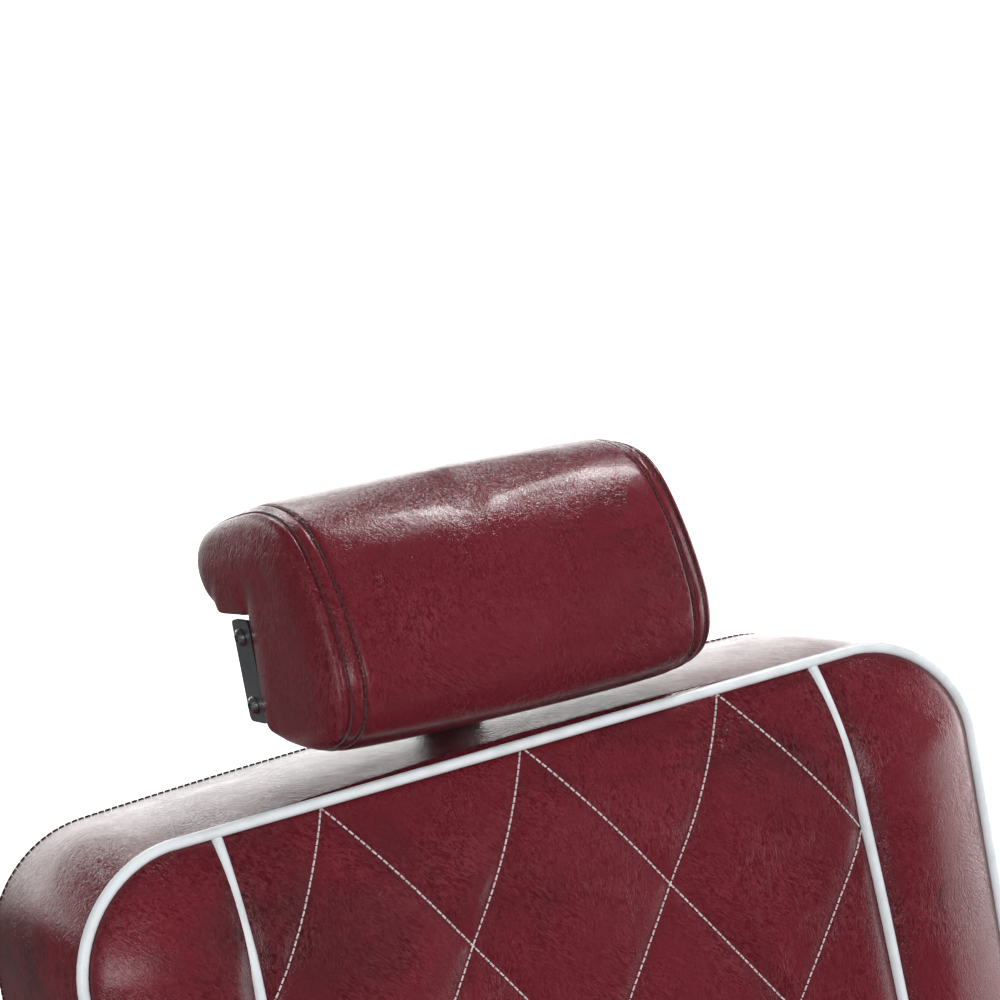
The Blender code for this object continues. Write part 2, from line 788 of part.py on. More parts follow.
def build_socket(axis):
    inner_x, inner_y = POST_WIDTH / 2 + GAP, POST_THICKNESS / 2 + GAP
    wall = 0.003
    low = (-inner_x - wall, POST_Y - inner_y - wall, 0.380)
    high = (inner_x + wall, POST_Y + inner_y + wall, 0.622)
    socket = box("headrest_socket", low, high)
    register(socket, "black_steel", axis)
    hollow_low = (-inner_x, POST_Y - inner_y, 0.37)
    hollow_high = (inner_x, POST_Y + inner_y, 0.65)
    cut(socket, box("socket_hollow", hollow_low, hollow_high), axis)
    start = (0, POST_Y + inner_y - 0.001, KNOB_Z)
    cut(socket, rod("screw_hole", start, (0, 0.05, KNOB_Z), 0.0045, 16), axis)

    outline = rounded_rectangle((-0.032, POST_Y - 0.014), (0.032, POST_Y + 0.014), 0.012, 4)
    low_y, high_y = POST_Y - inner_y, POST_Y + inner_y
    hole = [(-inner_x, low_y), (inner_x, low_y), (inner_x, high_y), (-inner_x, high_y)]
    low = BACK_TOP + GAP
    register(plate_xy("socket_escutcheon", [outline, hole], low, low + 0.003), "chrome", axis)

    profile = [(0.0, 0.022), (0.017, 0.022), (0.019, 0.018), (0.019, 0.0), (0.0, 0.0)]
    knob = turned_y("headrest_knob", profile)
    knob_axis = make_axis("knob_axis", (0, BACK_REAR + 0.004, KNOB_Z), (0, 0, 0), axis)
    register(knob, "plastic", knob_axis)
    reach = BACK_REAR + 0.004 - POST_Y - inner_y - 0.0006
    add(knob, rod("knob_screw", (0, -reach, 0), (0, 0.004, 0), 0.004, 16), knob_axis)
    for i in range(6):
        angle = 2 * pi * i / 6
        place = (0.0225 * cos(angle), 0.0225 * sin(angle))
        flute = rod("knob_flute", (place[0], -0.01, place[1]), (place[0], 0.03, place[1]), 0.0065, 12)
        cut(knob, flute, knob_axis)


def turned_y(name, profile):
    """A turned piece whose height runs along +Y."""
    obj = turned(name, profile, 24, closed=False)
    obj.rotation_euler = (-pi / 2, 0, 0)
    return obj


# ---------------------------------------------------------------- headrest


def build_headrest(back_axis):
    slide = make_axis("headrest_slide", (0, 0, 0), (0, 0, 0), back_axis)
    half_x, half_y = POST_WIDTH / 2, POST_THICKNESS / 2
    low = (-half_x, POST_Y - half_y, 0.470)
    high = (half_x, POST_Y + half_y, TILT_Z)
    post = box("headrest_post", low, high)
    register(post, "chrome", slide)
    eye = rod("post_eye", (-half_x, POST_Y, TILT_Z), (half_x, POST_Y, TILT_Z), 0.0085, 20)
    add(post, eye, slide)
    cut(post, rod("pin_hole", (-0.03, POST_Y, TILT_Z), (0.03, POST_Y, TILT_Z), 0.0042, 16), slide)

    tilt = make_axis("headrest_tilt", (0, POST_Y, TILT_Z), (0, 0, 0), slide)
    pin = rod("headrest_pivot_pin", (-0.0245, 0, 0), (0.0245, 0, 0), 0.0039, 16)
    register(pin, "steel", tilt)
    for side in (-1, 1):
        head = rod("pin_head", (side * 0.0235, 0, 0), (side * 0.027, 0, 0), 0.0065, 16)
        add(pin, head, tilt)
    build_headrest_bracket(tilt)

    outline = [(y - POST_Y, z - TILT_Z) for y, z in HEAD_POINTS]
    pad = plate_yz("headrest_pad", [outline], -HEAD_HALF_LENGTH, HEAD_HALF_LENGTH)
    register(pad, "leather", tilt)


def build_headrest_bracket(tilt):
    """A channel across the pad's waist, with a flange at each end and two ears for the pin."""
    front = -0.0222
    thickness = 0.003
    low = (-HEAD_HALF_LENGTH - 0.002, front, -0.036)
    high = (HEAD_HALF_LENGTH + 0.002, front + thickness, 0.020)
    bracket = box("headrest_bracket", low, high)
    register(bracket, "steel", tilt)
    for side in (-1, 1):
        x_low, x_high = mirrored_x(side, HEAD_HALF_LENGTH + 0.0005, HEAD_HALF_LENGTH + 0.0035)
        outline = rounded_rectangle((front - 0.0004, -0.0365), (0.0, 0.0205), 0.003, 2)
        add(bracket, plate_yz("flange", [outline], x_low, x_high), tilt)
        x_low, x_high = mirrored_x(side, POST_WIDTH / 2 + 0.0005, POST_WIDTH / 2 + 0.0035)
        ear = capsule((front + 0.0100, 0), (0, 0), 0.0085, 6)
        hole = circle((0, 0), 0.0042, 16)
        add(bracket, plate_yz("ear", [ear, hole], x_low, x_high), tilt)
    number = 1
    for side in (-1, 1):
        for z in (-0.027, 0.011):
            start = side * (HEAD_HALF_LENGTH + 0.0035 + GAP)
            name = "bracket_screw_%d" % number
            screw = turned(name, BUTTON_HEAD, 20, closed=False)
            screw.rotation_euler = (0, side * pi / 2, 0)
            screw.location = (start, -0.010, z)
            register(screw, "steel", tilt)
            number += 1


# ---------------------------------------------------------------- leg rest


def build_leg_rest():
    axis = make_axis("leg_axis", (0, LEG_PIVOT_Y, LEG_PIVOT_Z), (-LEG_LEAN, 0, 0))
    pin = local_lever_pin(LEG_LEAN)
    half_plate = ARM_PLATE / 2
    for name, side in SIDES:
        x_low, x_high = mirrored_x(side, LEG_ARM_X - half_plate, LEG_ARM_X + half_plate)
        arm = plate_yz("leg_arm_" + name, [capsule((0, 0), (0, LEG_TUBE_Z), 0.0125)], x_low, x_high)
        register(arm, "chrome", axis)
        add(arm, plate_yz("leg_lever", [capsule((0, 0), pin, 0.0105)], x_low, x_high), axis)
        add(arm, rod("leg_axle", (side * 0.160, 0, 0), (side * LEG_ARM_X, 0, 0), 0.006, 16), axis)
        if name == "left":
            start = (LEG_ARM_X - half_plate - 0.0075, *pin)
            add(arm, rod("leg_link_pin", start, (LEG_ARM_X, *pin), PIN_RADIUS, 16), axis)

    outline = rounded_rectangle((-0.205, -0.190), (0.205, -0.022), 0.03, 4)
    pad = plate_xz("calf_pad", [outline], -0.066, -0.0125 - GAP, 0.014)
    register(pad, "leather", axis)

    reach = LEG_ARM_X - half_plate - GAP
    tube = rod("leg_tube", (-reach, 0, LEG_TUBE_Z), (reach, 0, LEG_TUBE_Z), LEG_TUBE_RADIUS, 20)
    register(tube, "chrome", axis)

    fold = make_axis("foot_plate_axis", (0, 0, LEG_TUBE_Z), (LEG_LEAN, 0, 0), axis)
    top = 0.0160
    outline = rounded_rectangle((-0.165, -0.150), (0.165, 0.0), 0.02, 3)
    plate = plate_xy("foot_plate", [outline], top - 0.0045, top)
    register(plate, "aluminium", fold)
    for side in (-1, 1):
        x_low, x_high = mirrored_x(side, 0.100, 0.130)
        rings = [circle((0, 0), top, 24)]
        add(plate, plate_yz("knuckle", rings, x_low, x_high), fold)
    cut(plate, rod("tube_space", (-0.20, 0, 0), (0.20, 0, 0), LEG_TUBE_RADIUS + GAP), fold)


def build_link_rod():
    back_pin = lever_pin(PIVOT_Y, PIVOT_Z)
    leg_pin = lever_pin(LEG_PIVOT_Y, LEG_PIVOT_Z)
    x_high = LEG_ARM_X - ARM_PLATE / 2 - 0.0022
    x_low = x_high - 0.005
    outline = capsule(back_pin, leg_pin, 0.009)
    holes = [circle(place, PIN_RADIUS + 0.0005, 16) for place in (back_pin, leg_pin)]
    register(plate_yz("link_rod", [outline, *holes], x_low, x_high), "black_steel")


build_base()
build_pump()
build_pedal()
build_ram()
crossbar_top = build_seat_frame()
build_arms(crossbar_top)
build_release_lever()
build_brackets()
build_recline_cylinder()
recline_axis = build_back()
build_headrest(recline_axis)
build_leg_rest()
build_link_rod()
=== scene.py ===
"""Looks of the hydraulic barber chair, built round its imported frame.

Metres, in the frame's axes: the sitter faces -Y, and the origin is on the floor under the swivel.
"""

import json
from math import ceil, cos, hypot, pi, radians, sin

import bmesh
import bpy
import numpy as np
from mathutils import Matrix, Vector
from mathutils.bvhtree import BVHTree
from mathutils.geometry import delaunay_2d_cdt


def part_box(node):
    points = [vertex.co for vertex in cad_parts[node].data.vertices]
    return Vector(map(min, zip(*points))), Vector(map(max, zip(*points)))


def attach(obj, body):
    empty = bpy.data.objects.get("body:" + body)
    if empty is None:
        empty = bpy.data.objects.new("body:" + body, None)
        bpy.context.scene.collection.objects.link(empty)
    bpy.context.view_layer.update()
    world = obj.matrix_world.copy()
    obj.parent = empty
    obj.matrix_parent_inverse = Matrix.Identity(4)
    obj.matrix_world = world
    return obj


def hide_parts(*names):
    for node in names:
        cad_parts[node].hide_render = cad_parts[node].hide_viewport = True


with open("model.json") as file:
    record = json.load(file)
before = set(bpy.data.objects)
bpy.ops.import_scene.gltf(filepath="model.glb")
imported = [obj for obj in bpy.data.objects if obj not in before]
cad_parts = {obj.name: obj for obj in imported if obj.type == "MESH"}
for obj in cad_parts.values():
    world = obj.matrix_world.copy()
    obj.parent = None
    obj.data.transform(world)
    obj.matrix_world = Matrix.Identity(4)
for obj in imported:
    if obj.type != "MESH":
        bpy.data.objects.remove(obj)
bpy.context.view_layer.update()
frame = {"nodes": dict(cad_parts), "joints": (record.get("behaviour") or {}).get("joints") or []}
NODES = frame["nodes"]
JOINTS = {joint["name"]: joint for joint in frame["joints"]}

# Stitched leather
PIPING_RADIUS = 0.0031
THREAD_RADIUS = 0.00054
STITCH_PITCH = 0.0040
STITCH_LENGTH = 0.0031
DIAMOND_WIDTH = 0.123
DIAMOND_HEIGHT = 0.181
DIAMOND_TOP = 0.006  # the topmost crossings' distance below the edge seam
TOPSTITCH_INSET = 0.009  # from the boxing's rear edge
BOLSTER_SWELL = 0.0045
INNER_SEAM_SINK = 0.0038
INNER_SEAM_REACH = 0.007
QUILT_FADE = 0.020
PIPED_PRESS = 0.0015
STITCHED_PRESS = 0.0014
BOXING_WAIST = 0.0035
REAR_EDGE_ROUND = 0.007
REAR_DOME_REACH = 0.03

# Lean of the backrest and of the leg rest
BACK_LEAN = radians(21.5)
LEG_LEAN = radians(15.0)

# Cloth simulation of the padded pieces
SETTLE_FRAMES = 16
PRESSURE = 2.0

# Metal, wood, rubber and plastic
SMOOTH_BELOW = radians(38)
EDGE_ROUND = 0.0006

# Studio
GLOW_HEADING = (0.80, 0.60, 0.0)
ROOM_LIGHT = 0.07


def leaning(origin, lean):
    """Axes of a leaning panel: U across, V up along it, H out of its front."""
    s, c = sin(lean), cos(lean)
    x, y, z = origin
    return Matrix(((1, 0, 0, x), (0, s, -c, y), (0, c, s, z), (0, 0, 0, 1)))


def axes(origin, u, v):
    """Axes with U and V along the given directions and H at right angles to both."""
    h = Vector(u).cross(Vector(v))
    rows = [(u[i], v[i], h[i], origin[i]) for i in range(3)]
    return Matrix((*rows, (0, 0, 0, 1)))


def placed(points, matrix):
    """An array of local (u, v, h) points as points of the frame."""
    m = np.array(matrix)
    return np.asarray(points) @ m[:3, :3].T + m[:3, 3]


# ---------------------------------------------------------------- materials


class Shader:
    """A node material with short calls for the nodes that the finishes share."""

    def __init__(self, name):
        self.material = bpy.data.materials.new(name)
        self.material.use_nodes = True
        self.tree = self.material.node_tree
        self.surface = self.tree.nodes["Principled BSDF"]
        coordinates = self.tree.nodes.new("ShaderNodeTexCoord")
        self.place = coordinates.outputs["Object"]

    def node(self, kind, inputs=(), **settings):
        made = self.tree.nodes.new(kind)
        for key, value in settings.items():
            setattr(made, key, value)
        for key, value in dict(inputs).items():
            if isinstance(value, bpy.types.NodeSocket):
                self.tree.links.new(value, made.inputs[key])
            else:
                made.inputs[key].default_value = value
        return made

    def stretch(self, scale, turn=(0.0, 0.0, 0.0)):
        turned = self.node("ShaderNodeMapping", {"Vector": self.place, "Rotation": turn})
        scaled = self.node("ShaderNodeMapping", {"Vector": turned.outputs["Vector"], "Scale": scale})
        return scaled.outputs["Vector"]

    def noise(self, scale, detail=4.0, roughness=0.55, distortion=0.0, vector=None):
        inputs = {
            "Vector": vector or self.place,
            "Scale": scale,
            "Detail": detail,
            "Roughness": roughness,
            "Distortion": distortion,
        }
        return self.node("ShaderNodeTexNoise", inputs).outputs["Fac"]

    def cells(self, scale, feature="DISTANCE_TO_EDGE", vector=None):
        made = self.node("ShaderNodeTexVoronoi", {"Vector": vector or self.place}, feature=feature)
        made.inputs["Scale"].default_value = scale
        return made.outputs["Distance"]

    def span(self, value, low, high, to_low=0.0, to_high=1.0):
        inputs = {
            "Value": value,
            "From Min": low,
            "From Max": high,
            "To Min": to_low,
            "To Max": to_high,
        }
        return self.node("ShaderNodeMapRange", inputs).outputs["Result"]

    def mix(self, factor, a, b):
        made = self.node("ShaderNodeMix", data_type="RGBA")
        for index, value in ((0, factor), (6, a), (7, b)):
            if isinstance(value, bpy.types.NodeSocket):
                self.tree.links.new(value, made.inputs[index])
            elif isinstance(value, tuple):
                made.inputs[index].default_value = (*value, 1.0)
            else:
                made.inputs[index].default_value = value
        return made.outputs[2]

    def math(self, operation, a, b):
        made = self.node("ShaderNodeMath", {0: a, 1: b}, operation=operation)
        return made.outputs["Value"]

    def attribute(self, name):
        return self.node("ShaderNodeAttribute", attribute_name=name).outputs["Fac"]

    def bump(self, height, strength, distance, normal=None):
        inputs = {"Height": height, "Strength": strength, "Distance": distance}
        if normal:
            inputs["Normal"] = normal
        return self.node("ShaderNodeBump", inputs).outputs["Normal"]

    def finish(self, color, roughness, normal, **values):
        links = {"Base Color": color, "Roughness": roughness, "Normal": normal}
        for key, value in links.items():
            if isinstance(value, bpy.types.NodeSocket):
                self.tree.links.new(value, self.surface.inputs[key])
            elif isinstance(value, tuple):
                self.surface.inputs[key].default_value = (*value, 1.0)
            elif value is not None:
                self.surface.inputs[key].default_value = value
        for key, value in values.items():
            self.surface.inputs[key.replace("_", " ")].default_value = value
        return self.material


def leather_material():
    """Glossy burgundy leather: smoky mottling that is partly its own tone and partly painted dark
    reflection, clusters of fine crinkles with a painted highlight on their ridges and painted shade in
    their hollows, pores, and painted shade darkening the seams.
    """
    s = Shader("burgundy_leather")
    tone = s.noise(9.0, 5.0, 0.6, 0.3)
    color = s.mix(s.span(tone, 0.32, 0.66), (0.104, 0.0062, 0.0125), (0.138, 0.0098, 0.0180))
    # dark cloudy patches at random: partly the leather's own mottled tone, partly painted dark reflection
    # of the room
    mottle_and_dark_reflection = s.span(s.noise(6.4, 4.0, 0.62, 0.9, s.stretch((0.8, 1.3, 1.3))), 0.53, 0.69, 0.0, 0.78)
    color = s.mix(mottle_and_dark_reflection, color, (0.026, 0.0070, 0.0065))
    # painted shade: the 'seam' attribute darkens the seams, the stitch grooves and the cushions' rear faces
    color = s.mix(s.math("MULTIPLY", s.attribute("seam"), 0.55), color, (0.020, 0.0030, 0.0045))
    upright = s.noise(500.0, 2.0, 0.55, 1.8, s.stretch((1.0, 0.60, 0.26)))
    slanted = s.noise(470.0, 2.0, 0.55, 1.8, s.stretch((1.0, 0.60, 0.26), (0.0, 0.80, 0.0)))
    which = s.span(s.noise(14.0, 2.0, 0.5), 0.42, 0.58)
    lines = s.node("ShaderNodeMix", {"Factor": which, "A": upright, "B": slanted}).outputs["Result"]
    groups = s.span(s.noise(24.0, 3.0, 0.6, 0.6), 0.34, 0.66, 0.20, 1.0)
    crinkles = s.math("MULTIPLY", s.math("SUBTRACT", lines, 0.5), groups)
    # the crinkles' colour is painted light: a painted highlight on each ridge and painted shade in each
    # hollow
    highlight_share = s.span(crinkles, -0.10, 0.10)
    crease_shade = s.mix(0.20, color, (0.020, 0.0020, 0.0040))
    ridge_highlight = s.mix(0.24, color, (0.32, 0.070, 0.090))
    color = s.mix(highlight_share, crease_shade, ridge_highlight)
    folds = s.noise(64.0, 4.0, 0.6, 0.8, s.stretch((1.0, 0.45, 0.45)))
    normal = s.bump(folds, 0.12, 0.0012)
    normal = s.bump(crinkles, 0.65, 0.0010, normal)
    normal = s.bump(s.noise(1150.0, 2.0, 0.5), 0.40, 0.00025, normal)
    roughness = s.span(s.noise(34.0, 5.0, 0.65), 0.3, 0.7, 0.17, 0.28)
    return s.finish(color, roughness, normal, Coat_Weight=0.12, Coat_Roughness=0.10,
                    Specular_IOR_Level=0.42)


def piping_material():
    """White vinyl cord cover, very slightly blue, with faint soiling."""
    s = Shader("white_piping")
    color = s.mix(s.span(s.noise(45.0, 5.0, 0.6), 0.45, 0.75), (0.74, 0.78, 0.81), (0.60, 0.62, 0.63))
    normal = s.bump(s.noise(900.0, 3.0), 0.2, 0.0002)
    roughness = s.span(s.noise(120.0), 0.3, 0.7, 0.30, 0.45)
    return s.finish(color, roughness, normal, Coat_Weight=0.2, Coat_Roughness=0.2)


def thread_material(name, light, dark):
    """Twisted thread."""
    s = Shader(name)
    color = s.mix(s.span(s.noise(700.0, 2.0), 0.4, 0.6), light, dark)
    twist = s.noise(2600.0, 2.0, 0.5, 0.0, s.stretch((1.0, 1.0, 2.5)))
    return s.finish(color, 0.65, s.bump(twist, 0.6, 0.0002), Sheen_Weight=0.3)


def chrome_material():
    """Polished chrome plate with a trace of haze, fingerprints and pitting."""
    s = Shader("polished_chrome")
    haze = s.noise(9.0, 6.0, 0.65, 0.8)
    pits = s.span(s.cells(420.0, "F1"), 0.02, 0.10)
    color = s.mix(s.span(haze, 0.35, 0.75), (0.72, 0.73, 0.75), (0.60, 0.61, 0.63))
    roughness = s.span(haze, 0.35, 0.75, 0.045, 0.16)
    normal = s.bump(s.noise(14.0, 3.0), 0.05, 0.002)
    normal = s.bump(pits, 0.06, 0.0002, normal)
    return s.finish(color, roughness, normal, Metallic=1.0)


def steel_material():
    """Zinc-bright machined steel: fine turning lines and a mottled tone."""
    s = Shader("machined_steel")
    lines = s.noise(60.0, 5.0, 0.6, 0.0, s.stretch((1.0, 1.0, 28.0)))
    mottle = s.noise(22.0, 5.0, 0.6)
    color = s.mix(s.span(mottle, 0.35, 0.7), (0.50, 0.51, 0.53), (0.33, 0.34, 0.36))
    roughness = s.span(lines, 0.3, 0.7, 0.22, 0.42)
    return s.finish(color, roughness, s.bump(lines, 0.15, 0.0003), Metallic=1.0)


def black_steel_material():
    """Black powder coat: orange peel and paint rubbed thin in places."""
    s = Shader("black_powder_coat")
    rubbed = s.span(s.noise(16.0, 6.0, 0.7), 0.62, 0.78)
    color = s.mix(rubbed, (0.016, 0.016, 0.018), (0.060, 0.058, 0.056))
    peel = s.noise(420.0, 3.0, 0.5)
    roughness = s.span(s.noise(70.0, 4.0), 0.3, 0.7, 0.34, 0.52)
    return s.finish(color, roughness, s.bump(peel, 0.35, 0.0006), Coat_Weight=0.15)


def rubber_material():
    """Moulded rubber with a matt grain and grey scuffs."""
    s = Shader("moulded_rubber")
    scuffs = s.span(s.noise(26.0, 6.0, 0.7, 0.6), 0.55, 0.8)
    color = s.mix(scuffs, (0.017, 0.017, 0.017), (0.065, 0.062, 0.058))
    normal = s.bump(s.noise(650.0, 3.0), 0.4, 0.0004)
    return s.finish(color, s.span(scuffs, 0.0, 1.0, 0.62, 0.85), normal)


def plastic_material():
    """Moulded black plastic with a spark-eroded grain."""
    s = Shader("black_plastic")
    color = s.mix(s.span(s.noise(30.0, 4.0), 0.4, 0.75), (0.014, 0.014, 0.015), (0.034, 0.033, 0.033))
    normal = s.bump(s.cells(900.0, "F1"), 0.25, 0.0002)
    return s.finish(color, s.span(s.noise(90.0), 0.3, 0.7, 0.30, 0.46), normal)


def plywood_material():
    """Birch plywood: rings drawn out along X, with its plies across the thickness."""
    s = Shader("birch_plywood")
    grain = s.noise(11.0, 8.0, 0.7, 0.6, s.stretch((0.6, 6.0, 6.0)))
    color = s.mix(s.span(grain, 0.3, 0.72), (0.50, 0.33, 0.17), (0.30, 0.17, 0.075))
    return s.finish(color, s.span(grain, 0.3, 0.7, 0.5, 0.72), s.bump(grain, 0.3, 0.0008))


def aluminium_material():
    """Brushed aluminium with long scratches."""
    s = Shader("brushed_aluminium")
    brushed = s.noise(70.0, 6.0, 0.65, 0.0, s.stretch((1.0, 26.0, 26.0)))
    worn = s.span(s.noise(13.0, 6.0, 0.7), 0.5, 0.8)
    color = s.mix(worn, (0.56, 0.57, 0.59), (0.38, 0.38, 0.39))
    roughness = s.span(brushed, 0.3, 0.7, 0.24, 0.44)
    return s.finish(color, roughness, s.bump(brushed, 0.2, 0.0004), Metallic=1.0)


LEATHER = leather_material()
PIPING = piping_material()
WHITE_THREAD = thread_material("white_thread", (0.72, 0.66, 0.66), (0.50, 0.40, 0.40))
DARK_THREAD = thread_material("dark_thread", (0.040, 0.009, 0.012), (0.018, 0.005, 0.006))
FINISHES = {
    "red_leather": LEATHER,
    "chrome": chrome_material(),
    "steel": steel_material(),
    "black_steel": black_steel_material(),
    "rubber": rubber_material(),
    "black_plastic": plastic_material(),
    "plywood": plywood_material(),
    "aluminium": aluminium_material(),
}


# ---------------------------------------------------------------- meshes


def new_mesh(name, points, faces, material):
    mesh = bpy.data.meshes.new(name)
    mesh.from_pydata([tuple(p) for p in points], [], faces)
    bm = bmesh.new()
    bm.from_mesh(mesh)
    bmesh.ops.remove_doubles(bm, verts=bm.verts, dist=1e-6)
    bmesh.ops.recalc_face_normals(bm, faces=bm.faces)
    bm.to_mesh(mesh)
    bm.free()
    mesh.materials.append(material)
    mesh.shade_smooth()
    obj = bpy.data.objects.new(name, mesh)
    bpy.context.scene.collection.objects.link(obj)
    return obj


def coordinates(mesh):
    values = np.empty(len(mesh.vertices) * 3)
    mesh.vertices.foreach_get("co", values)
    return values.reshape(-1, 3)


def set_coordinates(mesh, points):
    mesh.vertices.foreach_set("co", np.asarray(points, dtype=np.float32).ravel())
    mesh.update()


def cords(name, paths, radius, material, body, closed=False, roundness=1):
    """Round cords along lists of points, one spline each, as one curve object."""
    curve = bpy.data.curves.new(name, "CURVE")
    curve.dimensions = "3D"
    curve.bevel_depth = radius
    curve.bevel_resolution = roundness
    curve.use_fill_caps = True
    for path in paths:
        spline = curve.splines.new("POLY")
        spline.points.add(len(path) - 1)
        flat = np.ones((len(path), 4), dtype=np.float32)
        flat[:, :3] = np.asarray(path)
        spline.points.foreach_set("co", flat.ravel())
        spline.use_cyclic_u = closed
    curve.materials.append(material)
    obj = bpy.data.objects.new(name, curve)
    bpy.context.scene.collection.objects.link(obj)
    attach(obj, body)
    return obj


def resampled(points, step):
    """The same line with points a fixed step apart."""
    points = np.asarray(points, float)
    gaps = np.linalg.norm(np.diff(points, axis=0), axis=1)
    reach = np.concatenate(([0.0], np.cumsum(gaps)))
    count = max(2, ceil(reach[-1] / step) + 1)
    at = np.linspace(0.0, reach[-1], count)
    return np.stack([np.interp(at, reach, points[:, i]) for i in range(3)], axis=1)


def evened(points, rounds=40):
    """The same line with its small bends taken out, and its ends kept."""
    points = np.array(points)
    for _ in range(rounds):
        points[1:-1] = 0.5 * points[1:-1] + 0.25 * (points[:-2] + points[2:])
    return points


def nearest(tree, points, lift):
    """The nearest points of a finished surface, lifted off it."""
    found = []
    for point in points:
        hit, normal, _, _ = tree.find_nearest(Vector(point))
        found.append(hit + normal * lift)
    return np.array(found)


def dashes(points, pitch=STITCH_PITCH, length=STITCH_LENGTH):
    """Cuts a line into stitches: three points each, at the stitch's start, middle and end."""
    fine = resampled(points, pitch / 4)
    gaps = np.linalg.norm(np.diff(fine, axis=0), axis=1)
    reach = np.concatenate(([0.0], np.cumsum(gaps)))
    starts = np.arange(pitch / 2, reach[-1] - length, pitch)
    made = []
    for start in starts:
        at = np.array([start, start + length / 2, start + length])
        made.append(np.stack([np.interp(at, reach, fine[:, i]) for i in range(3)], axis=1))
    return made


# ---------------------------------------------------------------- boxed cushions


class Cushion:
    """A boxed cushion: a rounded rectangle in its own U and V, with its front face raised along H.

    low and high are the outline's V, half its half width, and plane the H of the front seam. The
    boxing runs back to rear. rise is how far the front stands proud of its seam, reached over edge,
    and step is the mesh's spacing. curl brings the two sides of the front seam forward, and arch
    lowers the high edge's two ends. seam is the U of the inner piping, which spreads by seam_taper.
    quilt, crown and back_crown are the heights of the pillows, of the front and of the rear.
    """

    def __init__(self, name, body, matrix, half, low, high, corner, plane, rear, rise, edge, step,
                 curl=0.0, arch=0.0, seam=None, seam_taper=0.0, quilt=0.0, crown=0.003,
                 low_corner=None, back_crown=0.0):
        self.name, self.body, self.matrix = name, body, matrix
        self.half, self.low, self.high, self.corner = half, low, high, corner
        self.low_corner = low_corner or corner
        self.plane, self.rear, self.rise, self.edge, self.step = plane, rear, rise, edge, step
        self.curl, self.arch, self.seam, self.seam_taper = curl, arch, seam, seam_taper
        self.quilt, self.crown, self.back_crown = quilt, crown, back_crown

    # outline -------------------------------------------------

    def rows(self):
        """Each row's V and half width, from the low edge to the high one."""
        count = max(5, round(self.low_corner * pi / 2 / self.step))
        angles = [pi / 2 * i / count for i in range(count)]
        rows = [(self.low + self.low_corner * (1 - cos(a)),
                 self.half - self.low_corner * (1 - sin(a))) for a in angles]
        straight = self.high - self.corner - self.low - self.low_corner
        count = max(2, round(straight / self.step))
        start = self.low + self.low_corner
        rows += [(start + straight * i / count, self.half) for i in range(count)]
        count = max(5, round(self.corner * pi / 2 / self.step))
        angles = [pi / 2 * i / count for i in range(count + 1)]
        rows += [(self.high - self.corner * (1 - sin(a)),
                  self.half - self.corner * (1 - cos(a))) for a in angles]
        return rows

    def grid(self):
        """U and V of the front face's vertices, one array row for each row of the outline."""
        inner = self.seam * 1.02 if self.seam else 0.7 * (self.half - max(self.corner, self.low_corner))
        across = np.linspace(-self.half, self.half, 2 * round(self.half / self.step) + 1)
        u_rows, v_rows = [], []
        for v, width in self.rows():
            outer = inner + (np.abs(across) - inner) * (width - inner) / (self.half - inner)
            u_rows.append(np.where(np.abs(across) <= inner, across, np.sign(across) * outer))
            v_rows.append(np.full(len(across), v))
        return np.array(u_rows), np.array(v_rows)

    def inside(self, u, v):
        """Distance to the outline, positive inside it."""
        middle = (self.low + self.high) / 2
        radius = np.where(v > middle, self.corner, self.low_corner)
        qu = np.abs(u) - (self.half - radius)
        qv = np.abs(v - middle) - ((self.high - self.low) / 2 - radius)
        outside = np.hypot(np.maximum(qu, 0), np.maximum(qv, 0)) + np.minimum(np.maximum(qu, qv), 0)
        return radius - outside

    # front face ----------------------------------------------

    def seam_at(self, v):
        """The inner piping's U, which spreads slightly from the high edge down."""
        return self.seam + self.seam_taper * (self.high - v)

    def quilt_phases(self, u, v):
        down = (self.high - DIAMOND_TOP - v) / DIAMOND_HEIGHT
        return u / DIAMOND_WIDTH - down, u / DIAMOND_WIDTH + down

    def quilt_distance(self, u, v):
        """Distance to the nearest line of the diamond stitching."""
        slope = hypot(1 / DIAMOND_WIDTH, 1 / DIAMOND_HEIGHT)
        near = [np.abs(p - np.round(p)) / slope for p in self.quilt_phases(u, v)]
        return np.minimum(*near)

    def front(self, u, v):
        """H of the front face above its seam's plane, with its seams, bolsters and pillows."""
        d = np.clip(self.inside(u, v), 0, None)
        t = np.clip(d / self.edge, 0, 1)
        h = self.rise * np.sin(pi / 2 * t) ** 0.75
        middle = (self.low + self.high) / 2
        along = (v - middle) / (self.high - self.low) * 2
        h = h + self.crown * (1 - (u / self.half) ** 2) * (1 - along ** 2)
        if self.seam:
            off = np.abs(u) - self.seam_at(v)
            bolster = np.clip(off / (self.half - self.seam), 0, 1)
            h = h + BOLSTER_SWELL * np.sin(pi * bolster) * t
            h = h - INNER_SEAM_SINK * np.exp(-((off / INNER_SEAM_REACH) ** 2)) * t
            if self.quilt:
                p, q = self.quilt_phases(u, v)
                pillow = np.sqrt(np.abs(np.sin(pi * p) * np.sin(pi * q)))
                h = h + self.quilt * pillow * t * (off < 0) * np.clip(-off / QUILT_FADE, 0, 1)
        return h

    def bent(self, points):
        """Local points after the curl of the sides and the arch of the top edge."""
        u, v, h = points[:, 0], points[:, 1], points[:, 2]
        middle = (self.low + self.high) / 2
        up = np.clip((v - middle) / (self.high - middle), 0, 1)
        share = (u / self.half) ** 2
        ahead = np.clip((h - self.rear) / (self.plane - self.rear), 0, 1)
        return np.stack([u, v - self.arch * share * up, h + self.curl * share * ahead], axis=1)

